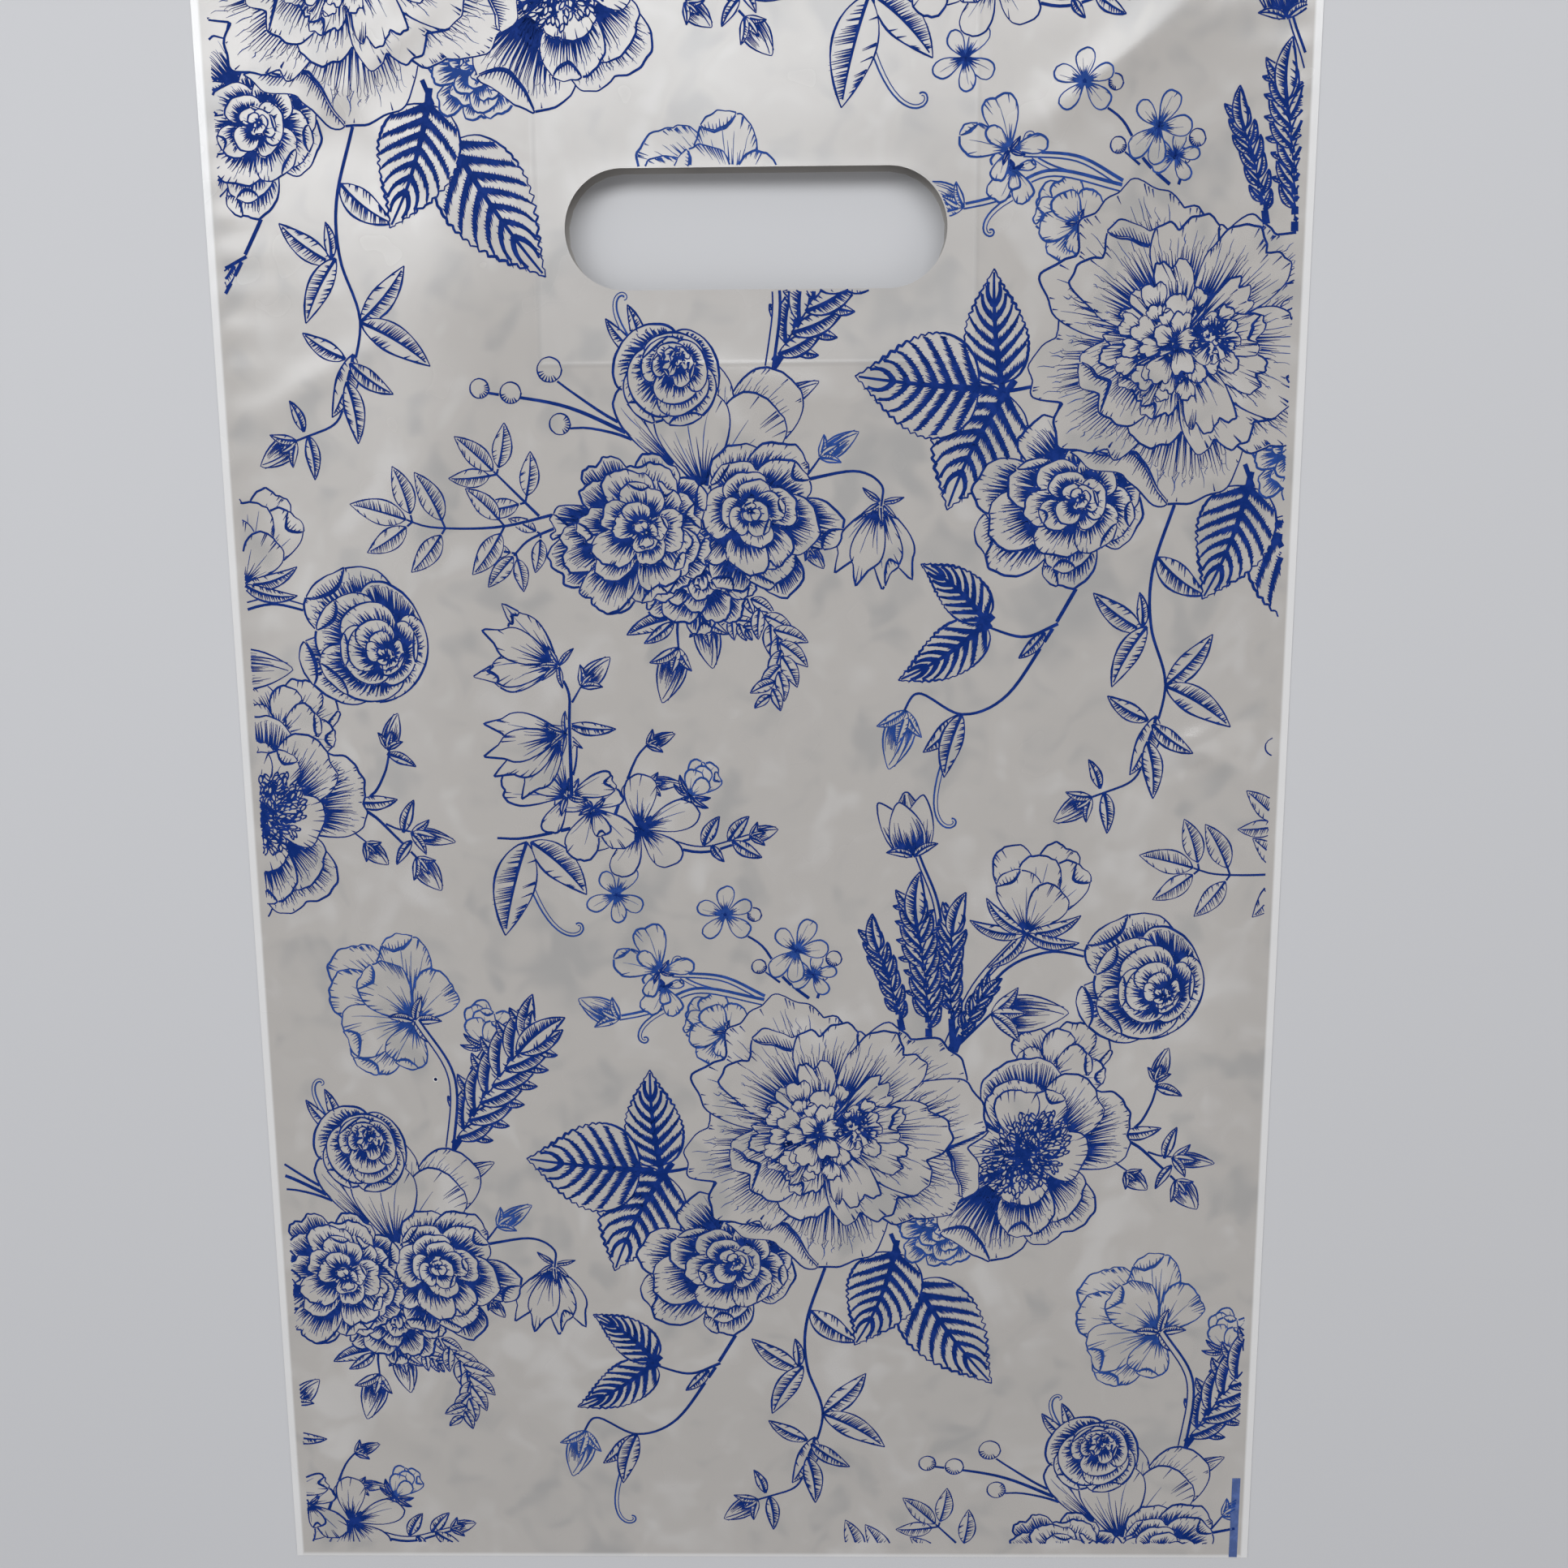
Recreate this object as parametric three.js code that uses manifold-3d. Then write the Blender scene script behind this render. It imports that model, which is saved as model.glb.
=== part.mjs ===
// A plastic carrier bag with a punched hand slot, lying flat on its back panel.
// Units are millimetres and +Z is up. +Y points at the open mouth, and the origin is in
// the middle of the back panel, on the surface that it lies on.
import * as THREE from "three";
import { mergeVertices } from "three/addons/utils/BufferGeometryUtils.js";
import Module from "manifold-3d";

const wasm = await Module();
wasm.setup();

// The bag
const bagWidth = 250;
const bagHeight = 400;
const filmThickness = 0.08;
const weldWidth = 1.6; // fused strip along each side
const weldOpening = 0.2; // how far the two films stand apart where they leave a weld or the fold
const loft = 6.5; // air between the two films in the middle of the bag
const sideRise = 62; // the front film climbs over this width from each side weld
const foldRise = 90; // and over this length from the bottom fold
const riseSteps = 6;

// The hand slot and the film patches that strengthen it
const slotLength = 85;
const slotHeight = 26;
const slotBelowMouth = 54;
const slotSegments = 10; // chords in each round end
const patchThickness = 0.08;
const patchBesideSlot = 6.5;
const patchBelowSlot = 16;
const patchBelowMouth = 4;
const patchCorner = 3;

// The printed block on each panel
const printSideMargin = 3.5;
const printBottomMargin = 4;
const printTopMargin = 4;
const barWidth = 2.1;
const barLength = 23;
const barInset = 2.7; // from the bag's side to the bar
const stemWidth = 1.3;
const paleInkDepth = 0.01; // ink fills a shallow bed in the film, so its edge is a real edge
const darkInkDepth = 0.02;

// Finish
const filmRoughness = 0.35;
const patchRoughness = 0.45;
const filmColour = new THREE.Color(0xd9d6d1);
const inkColour = new THREE.Color(0x24428c);
const shadeColour = new THREE.Color(0x8f9dc4);

const slotCentreY = bagHeight - slotBelowMouth - slotHeight / 2;
const frontUnderside = filmThickness + loft;
const totalThickness = frontUnderside + filmThickness;
const cutReach = 2 * totalThickness; // cutters pass this far beyond what they cut
const mergeDistance = 1e-4; // points this close are one point
const outlineSegments = 4; // chords in each curve of an outline

// Turns a closed three.js geometry into a solid that can be joined and cut.
function solid(geometry) {
  geometry.deleteAttribute("normal");
  geometry.deleteAttribute("uv");
  const merged = mergeVertices(geometry, mergeDistance);
  const mesh = new wasm.Mesh({
    numProp: 3,
    vertProperties: merged.attributes.position.array,
    triVerts: new Uint32Array(merged.index.array),
  });
  return new wasm.Manifold(mesh);
}

// A prism of the outline, tall enough to pass through both panels.
function prism(outline, curveSegments = outlineSegments) {
  const options = { depth: 2 * cutReach, bevelEnabled: false, curveSegments };
  return new THREE.ExtrudeGeometry(outline, options).translate(0, 0, -cutReach);
}

// A layer of the bag between two heights, as a grid of columns along X and rows along Y.
function layer(columns, rows, bottomAt, topAt) {
  const across = columns.length - 1;
  const along = rows.length - 1;
  const geometry = new THREE.BoxGeometry(across, along, 1, across, along, 1);
  const points = geometry.attributes.position;
  for (let i = 0; i < points.count; i += 1) {
    const x = columns[Math.round(points.getX(i) + across / 2)];
    const y = rows[Math.round(points.getY(i) + along / 2)];
    const heightAt = points.getZ(i) > 0 ? topAt : bottomAt;
    points.setXYZ(i, x, y, heightAt(x, y));
  }
  return solid(geometry);
}

// A climb from 0 at the seam to 1 at the end of the run.
function climb(distance, run) {
  return THREE.MathUtils.smoothstep(distance, 0, run);
}

// The clear gap between the two films at a place.
function gapAt(x, y) {
  const fromWeld = bagWidth / 2 - weldWidth - Math.abs(x);
  const fromFold = y - filmThickness;
  const rise = climb(fromWeld, sideRise) * climb(fromFold, foldRise);
  return weldOpening + (loft - weldOpening) * rise;
}

function frontTopAt(x, y) {
  return 2 * filmThickness + gapAt(x, y);
}

function frontUndersideAt(x, y) {
  return filmThickness + gapAt(x, y);
}

// Grid lines that follow the rise from the welds and from the fold
const weldEdge = bagWidth / 2 - weldWidth;
const steps = Array.from({ length: riseSteps + 1 }, (_, i) => i / riseSteps);
const leftColumns = steps.map((step) => -weldEdge + sideRise * step);
const rightColumns = leftColumns.map((x) => -x).reverse();
const innerColumns = [...leftColumns, ...rightColumns];
const columns = [-bagWidth / 2, ...innerColumns, bagWidth / 2];
const foldRows = steps.map((step) => filmThickness + foldRise * step);

const outerRows = [0, ...foldRows, bagHeight];
const innerRows = [...foldRows, bagHeight + cutReach];
const outerForm = layer(columns, outerRows, () => 0, frontTopAt);

// The slot is a bar with two half-round ends, and it is cut through films and patches alike.
function slotOutline() {
  const radius = slotHeight / 2;
  const reach = slotLength / 2 - radius;
  const outline = new THREE.Shape();
  outline.absarc(reach, slotCentreY, radius, -Math.PI / 2, Math.PI / 2);
  outline.absarc(-reach, slotCentreY, radius, Math.PI / 2, (3 * Math.PI) / 2);
  return outline;
}

const slotCutter = solid(prism(slotOutline(), slotSegments));

// One film, folded at the bottom and welded at both sides, with the mouth left open.
function makeShell() {
  const hollow = layer(innerColumns, innerRows, () => filmThickness, frontUndersideAt);
  return outerForm.subtract(hollow).subtract(slotCutter);
}

// The patch round the slot, as a plate with its lower corners cut round.
function patchOutline() {
  const side = slotLength / 2 + patchBesideSlot;
  const low = slotCentreY - slotHeight / 2 - patchBelowSlot;
  const high = bagHeight - patchBelowMouth;
  const outline = new THREE.Shape();
  outline.moveTo(side, high);
  outline.lineTo(-side, high);
  outline.lineTo(-side, low + patchCorner);
  outline.quadraticCurveTo(-side, low, -side + patchCorner, low);
  outline.lineTo(side - patchCorner, low);
  outline.quadraticCurveTo(side, low, side, low + patchCorner);
  return outline;
}

function makePatch(bottom) {
  const options = { depth: patchThickness, bevelEnabled: false, curveSegments: outlineSegments };
  const plate = new THREE.ExtrudeGeometry(patchOutline(), options);
  return solid(plate.translate(0, 0, bottom)).subtract(slotCutter);
}

// Where the shapes of the print stand: x and y of the middle, size, and turn in degrees
const peonies = [
  [94, 300, 35, 10],
  [12, 110, 36, 0],
  [-92, 376, 34, 40],
];
const roses = [
  [68, 260, 19, 0],
  [-11, 70, 20, 30],
  [-111, 345, 19, 0],
  [-34, 259, 20, 20],
  [0, 260, 15, 0],
  [-110, 75, 19, 50],
  [-81, 73, 16, 10],
  [92, 17, 19, 0],
];
const openFlowers = [
  [66, 107, 23, 0],
  [-40, 368, 22, 30],
  [-112, 194, 23, 60],
  [-93, 230, 14, 0],
  [94, 148, 15, 30],
  [-96, 145, 20, 0],
  [94, 59, 21, 20],
  [-14, 352, 16, 0],
];
const blossoms = [
  [-9, 166, 8, 0],
  [75, 360, 8, 10],
  [25, 257, 9, 0],
  [-57, 69, 8, 20],
  [-50, 206, 10, 0],
  [24, 368, 10, 30],
  [-42, 143, 8, 0],
  [36, 188, 8, 0],
  [68, 170, 8, 20],
  [-16, 291, 9, 10],
];
const leaves = [
  [35, 292, 30, 165],
  [55, 306, 22, 95],
  [50, 276, 24, 60],
  [-47, 103, 28, 150],
  [-27, 118, 24, 100],
  [-30, 88, 26, 200],
  [-81, 339, 30, 120],
  [-60, 331, 28, 60],
  [26, 70, 28, 290],
  [49, 60, 26, 230],
  [108, 259, 22, 250],
  [14, 312, 22, 60],
  [-61, 128, 22, 240],
  [37, 154, 22, 80],
  [118, 351, 22, 100],
  [-105, 22, 24, 30],
  [-62, 25, 22, 140],
];
// Stems: a run of points for each
const stems = [
  [[-123, 318], [-96, 312], [-100, 296], [-108, 282]],
  [[118, 252], [94, 236], [84, 220], [79, 204]],
  [[30, 52], [12, 44], [2, 26], [-2, 8]],
  [[58, 245], [42, 240], [34, 228], [31, 212]],
  [[-20, 60], [-38, 52], [-46, 40], [-49, 24]],
  [[-104, 255], [-80, 262], [-60, 268], [-48, 262]],
  [[122, 184], [106, 178], [92, 168], [74, 168]],
  [[-122, 178], [-98, 190], [-86, 204], [-78, 216]],
  [[-66, 196], [-54, 186], [-36, 176], [-12, 168]],
  [[20, 190], [36, 182], [44, 166], [60, 152]],
  [[118, 128], [108, 116], [98, 108], [84, 104]],
  [[-62, 160], [-50, 148], [-36, 152], [-24, 142]],
];
const leafShare = 0.42; // a leaf's width against its length
const stemLeafLength = 11;
const stemLeafPlaces = [
  [0.4, 40],
  [0.9, -40],
]; // the share of the stem's run, and the lean in degrees
const stemChords = 4;
const leafChords = 3; // in each edge of a leaf
const peonyLobes = 9;
const peonyHeartLobes = 4;
const flowerLobes = 5;
const flowerHeartLobes = 3;
const blossomLobes = 3;
const waveShare = 0.14; // how far a flower's edge dips between its lobes, against its radius
const heartShare = 0.42; // a flower's heart against its radius

function placed(points, [x, y, , turn]) {
  const angle = THREE.MathUtils.degToRad(turn);
  const middle = new THREE.Vector2(0, 0);
  const spot = new THREE.Vector2(x, y);
  return new THREE.Shape(points.map((p) => p.clone().rotateAround(middle, angle).add(spot)));
}

// A round outline with a point on each lobe and one between them.
function ruffle(place, radius, lobes) {
  const points = Array.from({ length: 2 * lobes }, (_, i) => {
    const reach = i % 2 === 0 ? radius : radius * (1 - waveShare);
    const angle = (Math.PI * i) / lobes;
    return new THREE.Vector2(reach * Math.cos(angle), reach * Math.sin(angle));
  });
  return placed(points, place);
}

// A pointed leaf that starts at the place and runs along its turn.
function leaf(place) {
  const length = place[2];
  const belly = length * leafShare;
  const outline = new THREE.Shape();
  outline.moveTo(0, 0);
  outline.quadraticCurveTo(length / 2, -belly, length, 0);
  outline.quadraticCurveTo(length / 2, belly, 0, 0);
  return placed(outline.getPoints(leafChords).slice(0, -1), place);
}

function stemCurve(points) {
  return new THREE.CatmullRomCurve3(points.map(([x, y]) => new THREE.Vector3(x, y, 0)));
}

// A stem as a ribbon of even width.
function stem(points) {
  const curve = stemCurve(points);
  const left = [];
  const right = [];
  for (let i = 0; i <= stemChords; i += 1) {
    const spot = curve.getPoint(i / stemChords);
    const run = curve.getTangent(i / stemChords);
    const side = new THREE.Vector3(-run.y, run.x, 0).multiplyScalar(stemWidth / 2);
    left.push(new THREE.Vector2(spot.x + side.x, spot.y + side.y));
    right.unshift(new THREE.Vector2(spot.x - side.x, spot.y - side.y));
  }
  return new THREE.Shape([...left, ...right]);
}

// Small leaves at both sides of a stem, each leaning out from it.
function stemLeaves(points) {
  const curve = stemCurve(points);
  return stemLeafPlaces.map(([along, lean]) => {
    const spot = curve.getPoint(along);
    const run = curve.getTangent(along);
    const turn = THREE.MathUtils.radToDeg(Math.atan2(run.y, run.x)) + lean;
    return leaf([spot.x, spot.y, stemLeafLength, turn]);
  });
}

function box(left, bottom, right, top) {
  const corners = [[left, bottom], [right, bottom], [right, top], [left, top]];
  return new THREE.Shape(corners.map(([x, y]) => new THREE.Vector2(x, y)));
}

function joined(outlines) {
  return outlines.map((outline) => solid(prism(outline))).reduce((all, next) => all.add(next));
}

// A flower is a pale field of hatched petals with a dark heart.
function flower(place, lobes, heartLobes) {
  return {
    petals: ruffle(place, place[2], lobes),
    heart: ruffle(place, place[2] * heartShare, heartLobes),
  };
}

const flowers = [
  ...peonies.map((place) => flower(place, peonyLobes, peonyHeartLobes)),
  ...[...roses, ...openFlowers].map((place) => flower(place, flowerLobes, flowerHeartLobes)),
];

const greenery = [
  ...stems.map(stem),
  ...stems.flatMap(stemLeaves),
  ...leaves.map(leaf),
  ...blossoms.map((place) => ruffle(place, place[2], blossomLobes)),
];

function printBlock() {
  const side = bagWidth / 2 - printSideMargin;
  return box(-side, printBottomMargin, side, bagHeight - printTopMargin);
}

function registrationBar() {
  const right = bagWidth / 2 - barInset;
  return box(right - barWidth, 0, right, barLength);
}

// A flat block that is wider and longer than the bag.
function slab(low, high) {
  const block = new THREE.BoxGeometry(2 * bagWidth, 3 * bagHeight, high - low);
  return solid(block.translate(0, 0, (low + high) / 2));
}

// What an ink of this depth takes out of the film, on the front and on the back. The back
// panel carries the same design, as seen from behind.
function inkBed(tone, depth) {
  const front = slab(0, cutReach).subtract(outerForm.translate([0, 0, -depth]));
  const back = slab(-cutReach, depth);
  return front.intersect(tone).add(back.intersect(tone.rotate([0, 180, 0])));
}

function makePrint() {
  const block = solid(prism(printBlock()));
  const petals = joined(flowers.map((each) => each.petals));
  const hearts = flowers.map((each) => each.heart);
  const lines = joined([...greenery, ...hearts]).intersect(block);
  const dark = lines.add(solid(prism(registrationBar())));
  return [
    { bed: inkBed(petals.intersect(block), paleInkDepth).asOriginal(), colour: shadeColour },
    { bed: inkBed(dark, darkInkDepth).asOriginal(), colour: inkColour },
  ];
}

// The faces of a solid as a geometry, in the colour of the ink bed that each one comes from.
function colouredGeometry(whole, inks = []) {
  const mesh = whole.getMesh();
  const tones = new Map(inks.map((ink) => [ink.bed.originalID(), ink.colour]));
  const positions = [];
  const colours = [];
  mesh.runOriginalID.forEach((id, run) => {
    const tone = tones.get(id) ?? filmColour;
    for (let i = mesh.runIndex[run]; i < mesh.runIndex[run + 1]; i += 1) {
      const start = mesh.triVerts[i] * mesh.numProp;
      positions.push(...mesh.vertProperties.slice(start, start + 3));
      colours.push(tone.r, tone.g, tone.b);
    }
  });
  const geometry = new THREE.BufferGeometry();
  geometry.setAttribute("position", new THREE.Float32BufferAttribute(positions, 3));
  geometry.setAttribute("color", new THREE.Float32BufferAttribute(colours, 3));
  geometry.computeVertexNormals();
  return geometry;
}

// A named piece of film, moved so that the middle of the bag is the origin.
function piece(name, geometry, roughness) {
  const look = { vertexColors: true, roughness, metalness: 0 };
  const mesh = new THREE.Mesh(geometry, new THREE.MeshStandardMaterial(look));
  mesh.name = name;
  mesh.position.y = -bagHeight / 2;
  return mesh;
}

const inks = makePrint();
const film = inks.reduce((left, ink) => left.subtract(ink.bed), makeShell());
const frontPatch = makePatch(frontUnderside - patchThickness);
const backPatch = makePatch(filmThickness);

const bag = new THREE.Group();
bag.add(piece("bag_film", colouredGeometry(film, inks), filmRoughness));
bag.add(piece("handle_patch_front", colouredGeometry(frontPatch), patchRoughness));
bag.add(piece("handle_patch_back", colouredGeometry(backPatch), patchRoughness));

export default bag;
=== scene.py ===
"""A plastic carrier bag with a punched hand slot, lying flat, printed in blue line work."""

import functools
import math

import bmesh
import bpy
import numpy as np
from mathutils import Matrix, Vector


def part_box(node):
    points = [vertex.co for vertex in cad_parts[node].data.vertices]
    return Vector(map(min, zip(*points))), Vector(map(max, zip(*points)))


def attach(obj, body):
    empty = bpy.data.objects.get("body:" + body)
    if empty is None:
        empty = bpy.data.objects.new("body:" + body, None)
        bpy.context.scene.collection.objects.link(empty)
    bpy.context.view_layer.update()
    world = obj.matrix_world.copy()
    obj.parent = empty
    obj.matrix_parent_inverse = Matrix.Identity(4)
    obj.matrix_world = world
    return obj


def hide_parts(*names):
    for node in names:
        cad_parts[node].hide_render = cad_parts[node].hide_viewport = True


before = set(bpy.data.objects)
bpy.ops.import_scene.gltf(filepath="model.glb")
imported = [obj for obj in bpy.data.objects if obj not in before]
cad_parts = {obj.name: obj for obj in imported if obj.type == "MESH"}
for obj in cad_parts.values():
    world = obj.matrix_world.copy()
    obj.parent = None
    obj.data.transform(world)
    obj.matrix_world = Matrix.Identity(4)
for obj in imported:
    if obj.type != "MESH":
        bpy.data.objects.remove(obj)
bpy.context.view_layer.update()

bl_info = {
    "name": "Carrier bag",
    "version": (1, 0, 0),
    "blender": (4, 5, 0),
    "location": "3D View > Sidebar > Carrier Bag",
    "description": "Builds a flat film carrier bag with a hand slot and a blue flower print",
    "category": "Object",
}

MM = 0.001
BAG_LOW, BAG_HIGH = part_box("bag_film")
PATCH_LOW, PATCH_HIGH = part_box("handle_patch_front")
BAG_WIDTH = (BAG_HIGH.x - BAG_LOW.x) / MM
BAG_HEIGHT = (BAG_HIGH.y - BAG_LOW.y) / MM
BAG_LOFT = (BAG_HIGH.z - BAG_LOW.z) / MM


def sizes():
    return bpy.context.scene.bag_sizes


def print_sizes():
    return bpy.context.scene.bag_print


def colours():
    return bpy.context.scene.bag_colours


# Sizes and colours that can be changed

def length(name, description, default):
    """A length, given in mm and kept in metres."""
    return bpy.props.FloatProperty(name=name, description=description, default=default * MM,
                                   min=0.0, unit="LENGTH", precision=5)


def colour(name, description, default):
    return bpy.props.FloatVectorProperty(name=name, description=description, default=default,
                                         size=3, min=0.0, max=1.0, subtype="COLOR")


class BagSizes(bpy.types.PropertyGroup):
    """The film, its seams and its hand slot."""

    film: length("Film", "Thickness of one wall", 0.08)
    weld: length("Weld", "Width of the fused strip along each side", 1.6)
    opening: length("Opening at the weld", "How far the walls part at a weld or the fold", 0.2)
    side_rise: length("Side rise", "Width over which the front wall climbs from a weld", 62)
    fold_rise: length("Fold rise", "Length over which the front wall climbs from the fold", 90)
    slot_length: length("Slot length", "Hand slot, from end to end", 85)
    slot_height: length("Slot height", "Hand slot, across", 26)
    slot_below: length("Slot below mouth", "From the mouth to the slot's upper edge", 54)
    ripple: length("Ripple", "Height of the film's soft ripples", 0.22)


class BagPrint(bpy.types.PropertyGroup):
    """The printed block on each panel."""

    side_margin: length("Side margin", "Plain film beside the print", 3.5)
    bottom_margin: length("Bottom margin", "Plain film under the print", 4)
    top_margin: length("Top margin", "Plain film over the print", 4)
    bar_width: length("Bar width", "Width of the registration bar", 2.1)
    bar_length: length("Bar length", "Length of the registration bar", 23)
    bar_inset: length("Bar inset", "From the bag's side to the bar", 2.7)
    lift: length("Ink lift", "Height of the ink over the film", 0.07)
    speck: length("Speck", "Radius of the dark speck on the front", 0.42)


class BagColours(bpy.types.PropertyGroup):
    """Film and inks, in linear colour."""

    film: colour("Film", "Milky film", (0.385, 0.36, 0.335))
    # Painted sheen: light clouds where light glances off the film's soft undulations
    film_sheen: colour("Film, light clouds", "Where the film is thicker", (0.475, 0.455, 0.435))
    # Painted shade: dark clouds of the undulations, and of the back print seen through the film
    film_shade: colour("Film, dark clouds", "Where the back print dims the film",
                      (0.315, 0.302, 0.288))
    # Partly fused film, partly a painted highlight where light catches the welds and the fold
    edge: colour("Edges", "Fused film along the welds and the fold", (0.7, 0.69, 0.68))
    ink: colour("Ink", "The print's main blue", (0.004, 0.021, 0.135))
    ink_mid: colour("Mid ink", "Lighter printed flowers", (0.016, 0.048, 0.2))
    ink_pale: colour("Pale ink", "The faintest lines and the bar", (0.065, 0.1, 0.24))
    floor: colour("Floor", "Plain pale floor", (0.5, 0.495, 0.5))


class StageSettings(bpy.types.PropertyGroup):
    """The camera, the floor and the lights."""

    camera_place: bpy.props.FloatVectorProperty(
        name="Camera place", description="Where the camera stands",
        default=(0.0109, 0.0728, 0.3713), size=3, subtype="TRANSLATION", unit="LENGTH")
    camera_turn: bpy.props.FloatVectorProperty(
        name="Camera turn", description="How the camera leans from looking straight down",
        default=[math.radians(a) for a in (-10.13, 0.8, -0.43)], size=3, subtype="EULER",
        unit="ROTATION")
    lens: bpy.props.FloatProperty(
        name="Lens", description="Focal length on a sensor 36 mm wide", default=36.04)
    floor_size: length("Floor size", "Side of the floor", 6000)
    sky: bpy.props.FloatProperty(name="Sky", description="Strength of the soft light all round",
                                 default=0.45, min=0.0)
    lamp: bpy.props.FloatProperty(name="Lamp", description="Power of the soft box, in watts",
                                  default=12.5, min=0.0)


# Pen and ink

CELL = 0.125        # mm of one cell of the plate's mask
SAMPLE = 0.3        # mm between the places where a line is tested against the mask
FINEST = 0.05       # mm, the least width of a printed line
DARK, MID, PALE = "dark", "mid", "pale"
PALER = {DARK: MID, MID: PALE, PALE: PALE}


class Plate:
    """An engraving, drawn from its front shapes to its back ones.

    Each shape hides what is drawn after it, so a stroke keeps only the stretches that no
    earlier shape covers. A plate that is drawn on has its own source of random numbers."""

    def __init__(self, width, height, rng=None):
        self.width, self.height, self.rng = width, height, rng
        self.taken = np.zeros((int(height / CELL) + 1, int(width / CELL) + 1), bool)
        self.strokes = {DARK: [], MID: [], PALE: []}

    def vary(self, low, high):
        """A random number between two others."""
        return self.rng.uniform(low, high)

    def hidden(self, points):
        """Which points lie off the plate, or under a shape that was drawn before."""
        column = ((points[..., 0] + self.width / 2) / CELL).astype(int)
        row = (points[..., 1] / CELL).astype(int)
        rows, columns = self.taken.shape
        outside = (column < 0) | (row < 0) | (column >= columns) | (row >= rows)
        return outside | self.taken[row.clip(0, rows - 1), column.clip(0, columns - 1)]

    def cover(self, outline):
        """Marks the inside of a closed outline as taken."""
        rows, columns = self.taken.shape
        x = (outline[:, 0] + self.width / 2) / CELL
        y = outline[:, 1] / CELL
        low, high = max(int(y.min()), 0), min(int(y.max()) + 1, rows)
        left, right = max(int(x.min()) - 1, 0), min(int(x.max()) + 2, columns)
        if low >= high or left >= right:
            return
        lines = np.arange(low, high)[:, None] + 0.5
        x2, y2 = np.roll(x, -1), np.roll(y, -1)
        crosses = (y <= lines) != (y2 <= lines)
        rise = np.where(y2 == y, 1.0, y2 - y)
        at = x + (lines - y) * (x2 - x) / rise
        line, edge = np.nonzero(crosses)
        column = (np.ceil(at[line, edge] - 0.5).astype(int) - left).clip(0, right - left)
        flips = np.zeros((high - low, right - left + 1), int)
        np.add.at(flips, (line, column), 1)
        self.taken[low:high, left:right] |= (np.cumsum(flips, 1)[:, :-1] % 2).astype(bool)

    def stamp(self, other, offset):
        """Repeats another plate's drawing here, behind what this one already shows."""
        for tone, strokes in other.strokes.items():
            for points, widths in strokes:
                self.stroke(points + offset, widths, tone)
        rows, columns = other.taken.shape
        over, down = np.rint(np.divide(offset, CELL)).astype(int)
        top, left = max(down, 0), max(over, 0)
        high = min(down + rows, self.taken.shape[0])
        wide = min(over + columns, self.taken.shape[1])
        if top < high and left < wide:
            self.taken[top:high, left:wide] |= other.taken[top - down:high - down,
                                                           left - over:wide - over]

    def stroke(self, points, widths, tone):
        """One line of ink, with its widths spread evenly along it."""
        run = resampled(points)
        width = np.interp(np.linspace(0, 1, len(run)), np.linspace(0, 1, len(widths)), widths)
        seen = ~self.hidden(run)
        edges = np.flatnonzero(np.diff(np.concatenate([[0], seen.astype(int), [0]])))
        for first, last in zip(edges[::2], edges[1::2]):
            if last - first > 2:
                self.strokes[tone].append(thinned(run[first:last], width[first:last]))

    def line(self, points, tone, pen, *swell):
        """A stroke whose widths are the pen's, times the factors of its swell."""
        self.stroke(points, pen * np.array(swell), tone)

    def contour(self, edge, width, tone):
        """A drawn edge: its line grows and thins a few times along its way."""
        t = np.linspace(0, 1, len(edge))
        swell = 0.75 + 0.25 * np.sin(2 * math.pi * (2.3 * t + 0.13 * len(edge)))
        self.stroke(edge, width * swell, tone)

    def shape(self, outline, width, tone):
        """The outline's own line, drawn before the shape hides what comes later."""
        self.contour(np.vstack([outline, outline[:1]]), width, tone)
        self.cover(outline)

    def leaf_shape(self, upper, lower, upper_width, lower_width, tone):
        """A shape between two edges, each with a width of its own."""
        self.contour(upper, upper_width, tone)
        self.contour(lower, lower_width, tone)
        self.cover(loop(upper, lower))


def resampled(points):
    """A line's points at even steps along it."""
    points = np.asarray(points, float)
    gaps = np.hypot(*np.diff(points, axis=0).T)
    along = np.concatenate([[0], np.cumsum(gaps)])
    places = np.linspace(0, along[-1], max(int(along[-1] / SAMPLE) + 1, 2))
    return np.column_stack([np.interp(places, along, points[:, i]) for i in (0, 1)])


def thinned(points, widths, turn=0.26, reach=3.0):
    """Keeps a point where the line has turned or run far enough since the last one."""
    steps = np.diff(points, axis=0)
    heading = np.unwrap(np.arctan2(steps[:, 1], steps[:, 0]))
    cost = np.concatenate([[0, 0], np.cumsum(np.abs(np.diff(heading)))]) / turn
    cost[1:] += np.cumsum(np.hypot(*steps.T)) / reach
    keep = np.flatnonzero(np.diff(np.floor(cost), prepend=-1) > 0)
    keep = np.unique(np.concatenate([[0], keep, [len(points) - 1]]))
    return points[keep], widths[keep]


def spline(points, count):
    """A smooth curve through a few points."""
    p = np.asarray(points, float)
    p = np.vstack([2 * p[0] - p[1], p, 2 * p[-1] - p[-2]])
    t = np.linspace(0, len(p) - 3 - 1e-9, count)
    i = t.astype(int)
    f = (t - i)[:, None]
    a, b, c, d = p[i], p[i + 1], p[i + 2], p[i + 3]
    return 0.5 * (2 * b + (c - a) * f + (2 * a - 5 * b + 4 * c - d) * f ** 2
                  + (3 * b - a - 3 * c + d) * f ** 3)


def ribbon(points, widths):
    """The two edges of a line that has a width."""
    steps = np.gradient(points, axis=0)
    run = np.maximum(np.hypot(*steps.T), 1e-9)[:, None]
    side = np.column_stack([-steps[:, 1], steps[:, 0]]) / run
    side = side * np.maximum(widths, FINEST)[:, None] / 2
    return points + side, points - side


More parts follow.
